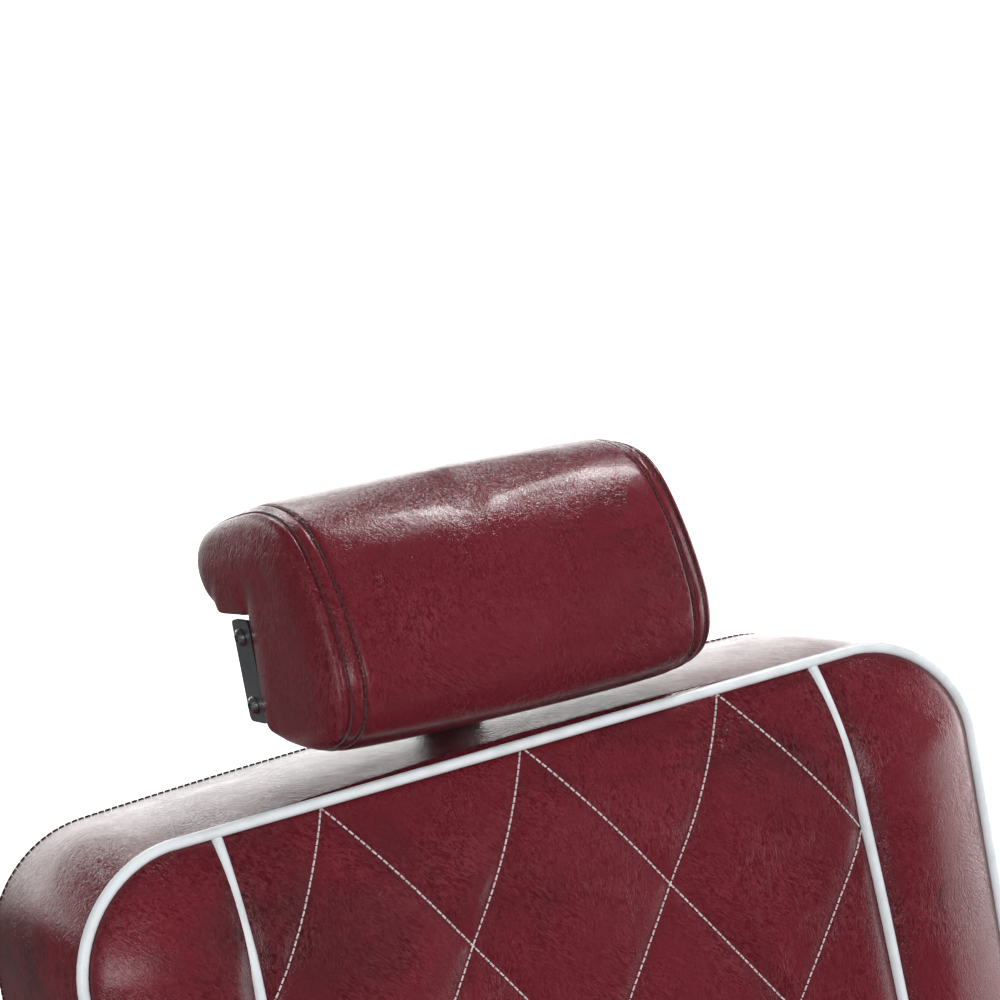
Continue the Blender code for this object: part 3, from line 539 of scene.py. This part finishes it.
    def outline(self, inset=0.0, h=None):
        """The outline's points in local axes, anticlockwise from the low edge's left end."""
        rows = self.rows()
        right = [(w, v) for v, w in rows]
        left = [(-w, v) for v, w in reversed(rows)]
        flat = np.array(right + left)
        middle = (self.low + self.high) / 2
        scale = np.array([1 - inset / self.half, 1 - inset / (self.high - middle)])
        flat = (flat - (0, middle)) * scale + (0, middle)
        height = self.plane if h is None else h
        return np.column_stack([flat, np.full(len(flat), height)])

    def build(self):
        u, v = self.grid()
        rows, columns = u.shape
        front_h = self.plane + self.front(u, v)
        front = np.stack([u.ravel(), v.ravel(), front_h.ravel()], axis=1)
        edge = [(0, c) for c in range(columns)]
        edge += [(r, columns - 1) for r in range(1, rows)]
        edge += [(rows - 1, c) for c in range(columns - 2, -1, -1)]
        edge += [(r, 0) for r in range(rows - 2, 0, -1)]
        loop = np.array([r * columns + c for r, c in edge])
        rim = front[loop].copy()
        middle = (self.low + self.high) / 2
        depth = self.plane - self.rear
        turn = min(REAR_EDGE_ROUND, depth * 0.3)
        count = max(4, round((depth - turn) / (self.step * 1.3)))
        profile = [(-BOXING_WAIST * sin(pi * i / count), self.plane - (depth - turn) * i / count)
                   for i in range(1, count + 1)]
        profile += [(turn * (1 - cos(a)), self.rear + turn * (1 - sin(a)))
                    for a in (pi / 6, pi / 3, pi / 2)]
        points, faces = [front], []
        for r in range(rows - 1):
            for c in range(columns - 1):
                a = r * columns + c
                faces.append((a, a + 1, a + columns + 1, a + columns))
        previous = loop
        total = rows * columns
        size = len(loop)
        for inset, h in profile:
            ring = rim.copy()
            ring[:, 0] = rim[:, 0] * (1 - inset / self.half)
            ring[:, 1] = middle + (rim[:, 1] - middle) * (1 - inset / (self.high - middle))
            ring[:, 2] = h
            points.append(ring)
            current = np.arange(total, total + size)
            for i in range(size):
                j = (i + 1) % size
                faces.append((previous[i], previous[j], current[j], current[i]))
            previous = current
            total += size
        rear = front.copy()
        rear[:, 0] *= 1 - turn / self.half
        rear[:, 1] = middle + (rear[:, 1] - middle) * (1 - turn / (self.high - middle))
        dome = np.sin(pi / 2 * np.clip(self.inside(u, v) / REAR_DOME_REACH, 0, 1)).ravel()
        rear[:, 2] = self.rear - self.back_crown * dome
        points.append(rear)
        for r in range(rows - 1):
            for c in range(columns - 1):
                a = total + r * columns + c
                faces.append((a, a + columns, a + columns + 1, a + 1))
        local = np.concatenate(points)
        obj = new_mesh(self.name, placed(self.bent(local), self.matrix), faces, LEATHER)
        self.obj = obj
        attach(obj, self.body)
        return obj

    def local(self, points):
        """Local (u, v, h) of points of the frame, with the curl and arch taken back out."""
        p = placed(points, self.matrix.inverted())
        u = p[:, 0]
        middle = (self.low + self.high) / 2
        share = (u / self.half) ** 2
        up = np.clip((p[:, 1] - middle) / (self.high - middle), 0, 1)
        v = p[:, 1] + self.arch * share * up
        ahead = np.clip((p[:, 2] - self.rear) / (self.plane - self.rear), 0, 1)
        return u, v, p[:, 2] - self.curl * share * ahead

    def hold(self, points):
        """How firmly each point is held in the simulation: 1 at seams, stitches and the rear."""
        u, v, h = self.local(points)
        d = self.inside(u, v)
        on_front = h > self.plane - 0.002
        weight = np.where(h < self.rear + 0.012, 1.0, 0.90)
        edge = np.exp(-((np.hypot(d, np.minimum(h - self.plane, 0)) / 0.006) ** 2))
        weight = np.maximum(weight, edge)
        if self.seam:
            off = np.abs(u) - self.seam_at(v)
            weight = np.where(on_front, np.maximum(weight, np.exp(-((off / 0.005) ** 2))), weight)
            if self.quilt:
                line = np.exp(-((self.quilt_distance(u, v) / 0.005) ** 2)) * (off < 0)
                weight = np.where(on_front, np.maximum(weight, line), weight)
        weight = np.where(on_front & (weight < 0.3), 0.02, weight)
        return np.clip(weight, 0, 1)

    def groove(self):
        """Presses the stitch lines into the finished mesh and stores painted shade, by how near each point
        is to a seam, the stitch grooves or the rear face, as the 'seam' attribute.
        """
        mesh = self.obj.data
        points = coordinates(mesh)
        u, v, h = self.local(points)
        normals = np.empty(len(mesh.vertices) * 3)
        mesh.vertices.foreach_get("normal", normals)
        normals = normals.reshape(-1, 3)
        d = np.abs(self.inside(u, v))
        front = h > self.plane + 0.0005
        # seam is painted shade: darkest at the edge seam, also over the rear face; the inner piping and the
        # diamond lines add to it below
        seam = np.exp(-((np.hypot(d, h - self.plane) / 0.010) ** 2))
        seam = np.maximum(seam, 0.7 * np.exp(-((np.abs(h - self.rear) / 0.012) ** 2)))
        press = np.zeros(len(points))
        if self.seam:
            off = np.abs(u) - self.seam_at(v)
            near = np.exp(-((off / 0.009) ** 2)) * front
            seam = np.maximum(seam, near)
            press = press + PIPED_PRESS * np.exp(-((off / 0.0045) ** 2)) * front
            if self.quilt:
                line = self.quilt_distance(u, v)
                inside = (off < 0) & front
                press = press + STITCHED_PRESS * np.exp(-((line / 0.0032) ** 2)) * inside
                seam = np.maximum(seam, 0.35 * np.exp(-((line / 0.006) ** 2)) * inside)
        set_coordinates(mesh, points - normals * press[:, None])
        # the painted shade goes to the leather as the 'seam' attribute
        attribute = mesh.attributes.new("seam", "FLOAT", "POINT")
        attribute.data.foreach_set("value", seam.astype(np.float32))

    # seams ---------------------------------------------------

    def on_front(self, u, v, lift=0.0):
        """Points of the frame on the finished front face over the given U and V."""
        u, v = np.asarray(u, float), np.asarray(v, float)
        guess = np.column_stack([u, v, self.plane + self.front(u, v)])
        places = placed(self.bent(guess), self.matrix)
        out = Vector(np.array(self.matrix)[:3, 2])
        found = []
        for place in places:
            start = Vector(place) + out * 0.03
            hit, normal, _, _ = self.tree.ray_cast(start, -out, 0.06)
            hit = hit if hit is not None else Vector(place)
            normal = normal if normal is not None else out
            found.append(hit + normal * lift)
        return np.array(found)

    def trim(self):
        """Piping, stitching and topstitching, laid on the finished surface."""
        self.tree = BVHTree.FromObject(self.obj, bpy.context.evaluated_depsgraph_get())
        rim = self.bent(self.outline())
        rim[:, 2] += PIPING_RADIUS * 0.35
        outward = self.bent(self.outline(-PIPING_RADIUS * 0.35))
        rim[:, :2] = outward[:, :2]
        paths = [placed(rim, self.matrix)]
        cords(self.name + "_edge_piping", paths, PIPING_RADIUS, PIPING, self.body, True, roundness=4)
        if self.seam:
            v = np.linspace(self.high - 0.002, self.low + 0.002, 90)
            lift = PIPING_RADIUS * 0.45
            sides = [evened(self.on_front(side * self.seam_at(v), v, lift)) for side in (-1, 1)]
            cords(self.name + "_inner_piping", sides, PIPING_RADIUS, PIPING, self.body, roundness=4)
        if self.quilt:
            stitches = []
            for u, v in self.quilt_lines():
                stitches += dashes(self.on_front(u, v, THREAD_RADIUS * 0.6))
            cords(self.name + "_diamond_stitching", stitches, THREAD_RADIUS, WHITE_THREAD, self.body)
        ring = self.outline(h=self.rear + TOPSTITCH_INSET)
        ring = placed(self.bent(np.vstack([ring, ring[:1]])), self.matrix)
        line = nearest(self.tree, resampled(ring, 0.004), THREAD_RADIUS * 0.5)
        cords(self.name + "_topstitch", dashes(line), THREAD_RADIUS, DARK_THREAD, self.body)

    def quilt_lines(self):
        """U and V along each straight line of diamond stitching, cut off at the inner piping."""
        lines = []
        reach = ceil(self.half / DIAMOND_WIDTH + (self.high - self.low) / DIAMOND_HEIGHT)
        down = np.linspace(0.004, self.high - self.low - 0.006, 240)
        for side in (-1, 1):
            for index in range(-reach, reach + 1):
                u = (index + side * (down - DIAMOND_TOP) / DIAMOND_HEIGHT) * DIAMOND_WIDTH
                v = self.high - down
                keep = np.abs(u) < self.seam_at(v) - PIPING_RADIUS * 0.6
                if keep.sum() > 8:
                    lines.append((u[keep], v[keep]))
        return lines


# ---------------------------------------------------------------- simulation


def settle(pieces):
    """Swells the padded pieces a little with cloth pressure, held at their seams, and keeps the result.

    pieces holds (object, hold weights, pressure, furthest travel).
    """
    scene = bpy.context.scene
    before = {}
    for obj, weights, pressure, _ in pieces:
        before[obj.name] = coordinates(obj.data)
        group = obj.vertex_groups.new(name="held")
        for index, weight in enumerate(weights):
            group.add([index], float(weight), "REPLACE")
        cloth = obj.modifiers.new("cloth", "CLOTH")
        settings = cloth.settings
        settings.quality = 4
        settings.mass = 0.25
        settings.tension_stiffness = 12
        settings.compression_stiffness = 10
        settings.shear_stiffness = 6
        settings.bending_stiffness = 1.5
        settings.shrink_min = -0.006
        settings.vertex_group_mass = "held"
        settings.pin_stiffness = 1.0
        settings.use_pressure = True
        settings.uniform_pressure_force = pressure
        settings.effector_weights.gravity = 0
        cloth.collision_settings.use_collision = False
    scene.frame_start = 1
    scene.frame_end = SETTLE_FRAMES
    for number in range(1, SETTLE_FRAMES + 1):
        scene.frame_set(number)
    depsgraph = bpy.context.evaluated_depsgraph_get()
    after = {}
    for obj, _, _, travel in pieces:
        moved = coordinates(obj.evaluated_get(depsgraph).to_mesh())
        start = before[obj.name]
        step = moved - start
        length = np.linalg.norm(step, axis=1)
        share = travel * np.tanh(length / travel) / np.maximum(length, 1e-9)
        after[obj.name] = start + step * share[:, None]
    for obj, _, _, _ in pieces:
        obj.modifiers.clear()
        obj.vertex_groups.clear()
        set_coordinates(obj.data, after[obj.name])
    scene.frame_set(1)


def subdivided(obj):
    """Applies one level of subdivision."""
    modifier = obj.modifiers.new("fine", "SUBSURF")
    modifier.levels = 1
    modifier.render_levels = 1
    depsgraph = bpy.context.evaluated_depsgraph_get()
    fine = bpy.data.meshes.new_from_object(obj.evaluated_get(depsgraph))
    obj.modifiers.clear()
    old = obj.data
    obj.data = fine
    bpy.data.meshes.remove(old)
    fine.shade_smooth()


# ---------------------------------------------------------------- padded pieces

BACK_AXES = leaning(JOINTS["recline"]["pos_m"], BACK_LEAN)
LEG_AXES = leaning(JOINTS["leg_rest"]["pos_m"], LEG_LEAN)


def back_cushion():
    return Cushion("back_upholstery", "back", BACK_AXES, half=0.2735, low=0.096, high=0.638, corner=0.062,
                   low_corner=0.036, plane=0.057, rear=-0.069, rise=0.029, edge=0.075, step=0.0062,
                   curl=0.022, arch=0.007, seam=1.5 * DIAMOND_WIDTH, seam_taper=0.03, quilt=0.0040,
                   back_crown=0.004)


def seat_cushion():
    low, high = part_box("seat_cushion")
    matrix = axes((0, 0, 0), (1, 0, 0), (0, 1, 0))
    return Cushion("seat_upholstery", "seat", matrix, half=high.x - 0.003, low=low.y + 0.003,
                   high=high.y - 0.003, corner=0.030, low_corner=0.052, plane=low.z + 0.078, rear=low.z,
                   rise=0.030, edge=0.050, step=0.0066, seam=1.5 * DIAMOND_WIDTH, quilt=0.0045, crown=0.006)


def arm_pad(name):
    low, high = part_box("arm_pad_" + name)
    middle = (low.x + high.x) / 2
    center = (low.y + high.y) / 2
    matrix = axes((middle, center, 0), (0, 1, 0), (-1, 0, 0))
    return Cushion("arm_pad_cover_" + name, "seat", matrix, half=(high.y - low.y) / 2 - 0.002,
                   low=-(high.x - low.x) / 2 + 0.002, high=(high.x - low.x) / 2 - 0.002, corner=0.033,
                   plane=low.z + 0.026, rear=low.z, rise=0.020, edge=0.030, step=0.0055, crown=0.002)


def side_panel(side, name):
    low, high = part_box("side_panel_" + name)
    middle = (low.y + high.y) / 2
    matrix = axes((0, middle, 0), (0, side, 0), (0, 0, 1))
    outer = max(abs(low.x), abs(high.x))
    inner = min(abs(low.x), abs(high.x))
    return Cushion("side_panel_cover_" + name, "seat", matrix, half=(high.y - low.y) / 2 - 0.002,
                   low=low.z + 0.002, high=high.z - 0.002, corner=0.030, plane=outer - 0.012, rear=inner,
                   rise=0.010, edge=0.030, step=0.0066, crown=0.003)


def calf_cushion():
    return Cushion("calf_pad_cover", "legs", LEG_AXES, half=0.203, low=-0.188, high=-0.024, corner=0.030,
                   plane=0.040, rear=0.0130, rise=0.024, edge=0.038, step=0.0062, crown=0.003)


# ---------------------------------------------------------------- headrest

# End view of the bean-shaped pad as (Y, Z) in the back's axes: front, underside, waist, rear lobe, crown
HEAD_OUTLINE = (
    (-0.054, 0.7815),
    (-0.073, 0.7700),
    (-0.089, 0.7480),
    (-0.101, 0.7220),
    (-0.107, 0.6980),
    (-0.102, 0.6775),
    (-0.086, 0.6640),
    (-0.060, 0.6570),
    (-0.028, 0.6570),
    (-0.008, 0.6610),
    (0.000, 0.6750),
    (0.000, 0.7225),
    (0.008, 0.7266),
    (0.024, 0.7264),
    (0.044, 0.7268),
    (0.061, 0.7350),
    (0.068, 0.7500),
    (0.062, 0.7645),
    (0.042, 0.7750),
    (0.006, 0.7825),
    (-0.026, 0.7855),
)
HEAD_SEAM = 0.1072  # X of the end seams
HEAD_SHIFT = -0.0027  # play in the post: the cover sits a little to -X, low, and lowest on the +X side
HEAD_ROLL = radians(2.0)
HEAD_MIDDLE_V = 0.725
HEAD_DROP = 0.0030
HEAD_END_STEPS = ((0.0006, 0.0014), (0.0012, 0.0001), (0.0030, 0.0008), (0.0048, 0.0030), (0.0062, 0.0068))
HEAD_END_RISE = 0.0030
HEAD_END_DOME = 0.022
HEAD_STITCH = 0.0078  # from the end seam in to the topstitch
HEAD_NEAR_ENDS = (0.0115, 0.0098, 0.0088, 0.0078, 0.0068, 0.0056, 0.0036, 0.0014, 0.0)
HEAD_END_GRID = 0.0055
HEAD_SIDES = 100
HEAD_STEP = 0.0053


HEAD_AXES = (BACK_AXES @ Matrix.Translation((HEAD_SHIFT, HEAD_MIDDLE_V - HEAD_DROP, 0))
             @ Matrix.Rotation(-HEAD_ROLL, 4, "Z") @ Matrix.Translation((0, -HEAD_MIDDLE_V, 0)))


def closed_spline(points, count):
    """Evenly spaced points on a smooth closed curve through the given ones."""
    points = np.array(points)
    dense = []
    size = len(points)
    for i in range(size):
        p0, p1, p2, p3 = (points[(i + k) % size] for k in (-1, 0, 1, 2))
        for t in np.linspace(0, 1, 12, endpoint=False):
            dense.append(0.5 * (2 * p1 + (p2 - p0) * t + (2 * p0 - 5 * p1 + 4 * p2 - p3) * t ** 2
                                + (3 * p1 - p0 - 3 * p2 + p3) * t ** 3))
    dense = np.array(dense + dense[:1])
    gaps = np.linalg.norm(np.diff(dense, axis=0), axis=1)
    reach = np.concatenate(([0.0], np.cumsum(gaps)))
    at = np.linspace(0, reach[-1], count, endpoint=False)
    return np.stack([np.interp(at, reach, dense[:, i]) for i in range(2)], axis=1)


def outward(profile):
    """The outline's normals, pointing out."""
    ahead = np.roll(profile, -1, axis=0) - np.roll(profile, 1, axis=0)
    normal = np.stack([ahead[:, 1], -ahead[:, 0]], axis=1)
    normal /= np.linalg.norm(normal, axis=1)[:, None]
    area = np.sum(profile[:, 0] * np.roll(profile[:, 1], -1) - np.roll(profile[:, 0], -1) * profile[:, 1])
    return normal * np.sign(area)


def head_section(profile, x, extra=0.0):
    """The outline at X: full in the middle, drawn in to the end seams, and most so on the front."""
    normal = outward(profile)
    front = np.clip(-normal[:, 0], 0, 1)
    waist = np.clip((profile[:, 0] + 0.012) / 0.008, 0, 1) * (profile[:, 1] < 0.727)
    share = min(abs(x) / HEAD_SEAM, 1.0)
    bulge = (0.0015 + 0.0025 * front) * (1 - share ** 5)
    gap = HEAD_SEAM - min(abs(x), HEAD_SEAM)
    drawn = 0.0013 * np.exp(-((gap / 0.0030) ** 2))
    drawn += 0.0015 * np.exp(-(((gap - HEAD_STITCH) / 0.0016) ** 2))
    return profile + normal * ((bulge - drawn) * (1 - waist) - extra * (1 - 0.85 * waist))[:, None]


def within(points, outline):
    """Whether each point is inside the closed outline."""
    found = np.zeros(len(points), bool)
    for (ax, ay), (bx, by) in zip(outline, np.roll(outline, -1, axis=0)):
        crosses = (ay > points[:, 1]) != (by > points[:, 1])
        if ay != by:
            found ^= crosses & (points[:, 0] < (bx - ax) * (points[:, 1] - ay) / (by - ay) + ax)
    return found


def headrest():
    """The pad lofted along X, with a seam round each end and a lightly domed end panel."""
    profile = closed_spline(HEAD_OUTLINE, HEAD_SIDES)
    top = int(np.argmax(profile[:, 1]))
    profile = np.roll(profile, -top, axis=0)
    reach = HEAD_SEAM - HEAD_NEAR_ENDS[0] - HEAD_STEP
    near = HEAD_SEAM - np.array(HEAD_NEAR_ENDS)
    middle = np.linspace(-reach, reach, round(2 * reach / HEAD_STEP) + 1)
    stations = np.concatenate([-near[::-1], middle, near])
    points, faces = [], []

    def ring(x, outline):
        start = sum(len(p) for p in points)
        points.append(np.column_stack([np.full(len(outline), x), outline[:, 1], -outline[:, 0]]))
        return np.arange(start, start + len(outline))

    def join(a, b):
        for i in range(len(a)):
            j = (i + 1) % len(a)
            faces.append((a[i], a[j], b[j], b[i]))

    rings = [ring(x, head_section(profile, x)) for x in stations]
    for a, b in zip(rings, rings[1:]):
        join(a, b)
    for side, last in ((-1, rings[0]), (1, rings[-1])):
        for out, inset in HEAD_END_STEPS:
            lip = ring(side * (HEAD_SEAM + out), head_section(profile, HEAD_SEAM, inset))
            join(last, lip)
            last = lip
        end = head_section(profile, HEAD_SEAM, HEAD_END_STEPS[-1][1])
        across = np.arange(end[:, 0].min(), end[:, 0].max(), HEAD_END_GRID)
        up = np.arange(end[:, 1].min(), end[:, 1].max(), HEAD_END_GRID)
        grid = np.stack(np.meshgrid(across, up), axis=-1).reshape(-1, 2)
        gap = np.linalg.norm(grid[:, None] - end[None], axis=2).min(axis=1)
        keep = within(grid, end) & (gap > 0.6 * HEAD_END_GRID)
        grid, gap = grid[keep], gap[keep]
        flat = [Vector(p) for p in np.vstack([end, grid])]
        outline = list(range(len(end)))
        made = delaunay_2d_cdt(flat, [], [outline], 1, 1e-7)
        start = sum(len(p) for p in points)
        dome = HEAD_END_RISE * np.sin(pi / 2 * np.clip(gap / HEAD_END_DOME, 0, 1))
        x = side * (HEAD_SEAM + HEAD_END_STEPS[-1][0] + dome)
        points.append(np.column_stack([x, grid[:, 1], -grid[:, 0]]))
        numbers = list(last) + list(range(start, start + len(grid)))
        source = [origin[0] for origin in made[3]]
        faces += [tuple(numbers[source[corner]] for corner in face) for face in made[2]]
    local = np.concatenate(points)
    obj = new_mesh("headrest_cover", placed(local, HEAD_AXES), faces, LEATHER)
    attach(obj, "headrest")
    return obj


def head_hold(points):
    """Held at the end seams and where the bracket bears on the waist."""
    local = placed(points, HEAD_AXES.inverted())
    seam = np.exp(-((np.abs(np.abs(local[:, 0]) - HEAD_SEAM) / 0.004) ** 2))
    waist = (local[:, 2] < 0.002) & (local[:, 2] > -0.010) & (local[:, 1] > 0.664) & (local[:, 1] < 0.732)
    ends = np.abs(local[:, 0]) > HEAD_SEAM
    return np.clip(np.maximum(np.where(waist | ends, 0.8, 0.05), seam), 0, 1)


def head_trim(obj):
    """Painted shade along the end seams and topstitch grooves (the 'seam' attribute), then the dark
    topstitch inside each end seam and the fine one in the seam.
    """
    mesh = obj.data
    points = coordinates(mesh)
    local = placed(points, HEAD_AXES.inverted())
    off = HEAD_SEAM - np.abs(local[:, 0])
    # painted shade along the end seams and the topstitch grooves
    seam_shade = 0.7 * np.exp(-((off / 0.0022) ** 2))
    stitch_shade = 0.4 * np.exp(-(((off - HEAD_STITCH) / 0.0022) ** 2))
    near = np.maximum(seam_shade, stitch_shade)
    attribute = mesh.attributes.new("seam", "FLOAT", "POINT")
    attribute.data.foreach_set("value", near.astype(np.float32))
    tree = BVHTree.FromObject(obj, bpy.context.evaluated_depsgraph_get())
    profile = closed_spline(HEAD_OUTLINE, HEAD_SIDES * 2)
    profile = np.vstack([profile, profile[:1]])
    topstitch, seams = [], []
    for side in (-1, 1):
        for x, lines, pitch, length in ((HEAD_SEAM - HEAD_STITCH, topstitch, STITCH_PITCH, STITCH_LENGTH),
                                        (HEAD_SEAM + 0.0003, seams, 0.0026, 0.0022)):
            ring = np.column_stack([np.full(len(profile), side * x), profile[:, 1], -profile[:, 0]])
            line = nearest(tree, resampled(placed(ring, HEAD_AXES), 0.003), THREAD_RADIUS * 0.4)
            lines += dashes(line, pitch, length)
    cords("headrest_topstitch", topstitch, THREAD_RADIUS * 0.9, DARK_THREAD, "headrest")
    cords("headrest_end_seams", seams, THREAD_RADIUS * 0.6, DARK_THREAD, "headrest")


# ---------------------------------------------------------------- carried-over pieces


def smoothing():
    """A modifier's node group that shades smoothly across every edge flatter than the given angle."""
    group = bpy.data.node_groups.new("smooth_round_faces", "GeometryNodeTree")
    for direction in ("INPUT", "OUTPUT"):
        group.interface.new_socket("Geometry", in_out=direction, socket_type="NodeSocketGeometry")
    start = group.nodes.new("NodeGroupInput")
    end = group.nodes.new("NodeGroupOutput")
    faces = group.nodes.new("GeometryNodeSetShadeSmooth")
    edges = group.nodes.new("GeometryNodeSetShadeSmooth")
    edges.domain = "EDGE"
    angle = group.nodes.new("GeometryNodeInputMeshEdgeAngle")
    flatter = group.nodes.new("ShaderNodeMath")
    flatter.operation = "LESS_THAN"
    flatter.inputs[1].default_value = SMOOTH_BELOW
    group.links.new(start.outputs[0], faces.inputs["Geometry"])
    group.links.new(faces.outputs["Geometry"], edges.inputs["Geometry"])
    group.links.new(angle.outputs["Unsigned Angle"], flatter.inputs[0])
    group.links.new(flatter.outputs["Value"], edges.inputs["Shade Smooth"])
    group.links.new(edges.outputs["Geometry"], end.inputs[0])
    return group


def dress_frame():
    """Gives every CAD node its finish, and rounds the hard edges a little."""
    group = smoothing()
    for node in NODES.values():
        for place in node.material_slots:
            place.material = FINISHES[place.name]
        bevel = node.modifiers.new("edge_round", "BEVEL")
        bevel.width = EDGE_ROUND
        bevel.segments = 2
        bevel.limit_method = "ANGLE"
        bevel.angle_limit = SMOOTH_BELOW
        smooth = node.modifiers.new("smooth_round_faces", "NODES")
        smooth.node_group = group


# ---------------------------------------------------------------- stage


def studio():
    """A pale floor that glows beyond the chair, a dim room, and soft lights round it."""
    bpy.ops.mesh.primitive_plane_add(size=60, location=(0, 0, -0.0002))
    floor = bpy.context.object
    floor.name = "studio_floor"
    s = Shader("pale_floor")
    seen = s.node("ShaderNodeLightPath").outputs["Is Camera Ray"]
    tone = s.mix(s.span(s.noise(0.8, 3.0), 0.3, 0.7), (0.80, 0.80, 0.80), (0.77, 0.77, 0.77))
    s.finish(s.mix(seen, (0.10, 0.10, 0.10), tone), 0.8, None, Specular_IOR_Level=0.1)
    parts = s.node("ShaderNodeVectorMath", {0: s.place, 1: GLOW_HEADING}, operation="DOT_PRODUCT")
    glow = s.span(parts.outputs["Value"], 1.2, 3.2, 0.02, 2.50)
    away = s.node("ShaderNodeVectorMath", {0: s.place}, operation="LENGTH").outputs["Value"]
    plain = s.span(away, 0.6, 3.0, 0.42, 1.05)
    strength = s.node("ShaderNodeMix", {"Factor": seen, "A": glow, "B": plain})
    s.tree.links.new(strength.outputs["Result"], s.surface.inputs["Emission Strength"])
    s.surface.inputs["Emission Color"].default_value = (1, 1, 1, 1)
    floor.data.materials.append(s.material)

    world = bpy.data.worlds.new("studio_world")
    bpy.context.scene.world = world
    world.use_nodes = True
    tree = world.node_tree
    background = tree.nodes["Background"]
    rays = tree.nodes.new("ShaderNodeLightPath")
    choose = tree.nodes.new("ShaderNodeMix")
    tree.links.new(rays.outputs["Is Camera Ray"], choose.inputs["Factor"])
    choose.inputs["A"].default_value = ROOM_LIGHT
    choose.inputs["B"].default_value = 1.1
    tree.links.new(choose.outputs["Result"], background.inputs["Strength"])
    background.inputs["Color"].default_value = (1, 1, 1, 1)

    lamp("overhead_softbox", (1.5, 1.55, 3.1), (0, 0.3, 1.0), 0.9, 0.40, 32)
    lamp("side_softbox", (-2.6, -2.8, 2.6), (0, 0.2, 0.8), 1.6, 1.6, 35)
    lamp("rear_softbox", (0.6, 3.8, 2.6), (0, 0.4, 0.8), 1.6, 1.6, 50)
    for side in (-1, 1):
        lamp("strip_softbox", (side * 3.4, 0.6, 1.1), (0, 0.0, 0.7), 0.7, 2.0, 14)
    for side, power in ((-1, 100), (1, 110)):
        fill = lamp("fill_softbox", (side * 2.8, -2.2, 2.8), (0, 0.2, 0.7), 2.0, 2.0, power)
        fill.visible_glossy = False


def lamp(name, location, target, width, height, power):
    data = bpy.data.lights.new(name, "AREA")
    data.shape = "RECTANGLE"
    data.size, data.size_y = width, height
    data.energy = power
    obj = bpy.data.objects.new(name, data)
    obj.location = location
    direction = Vector(target) - Vector(location)
    obj.rotation_euler = direction.to_track_quat("-Z", "Y").to_euler()
    obj.visible_camera = False
    bpy.context.scene.collection.objects.link(obj)
    return obj


def photo_camera():
    data = bpy.data.cameras.new("photo_camera")
    data.lens = 126
    data.sensor_width = 36
    data.clip_end = 100
    obj = bpy.data.objects.new("photo_camera", data)
    bpy.context.scene.collection.objects.link(obj)
    obj.location = (-0.8148, -1.0100, 2.0184)
    forward = Vector((0.4412, 0.7803, -0.4432))
    obj.rotation_euler = forward.to_track_quat("-Z", "Y").to_euler()
    bpy.context.scene.camera = obj


# ---------------------------------------------------------------- assembly


def build_scene():
    photo_camera()
    cushions = [
        (back_cushion(), ("back_cushion", "back_shell", "back_board"), 0.006),
        (seat_cushion(), ("seat_cushion",), 0.008),
        (calf_cushion(), ("calf_pad",), 0.006),
        (arm_pad("left"), ("arm_pad_left",), 0.004),
        (arm_pad("right"), ("arm_pad_right",), 0.004),
        (side_panel(1, "left"), ("side_panel_left",), 0.004),
        (side_panel(-1, "right"), ("side_panel_right",), 0.004),
    ]
    soft = []
    for cushion, replaced, travel in cushions:
        obj = cushion.build()
        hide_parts(*replaced)
        soft.append((obj, cushion.hold(coordinates(obj.data)), PRESSURE, travel))
    head = headrest()
    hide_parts("headrest_pad")
    soft.append((head, head_hold(coordinates(head.data)), PRESSURE, 0.003))
    settle(soft)
    for cushion, _, _ in cushions:
        subdivided(cushion.obj)
        cushion.groove()
        cushion.trim()
    subdivided(head)
    head_trim(head)
    dress_frame()
    studio()


build_scene()
bpy.context.scene.view_settings.view_transform = "Standard"
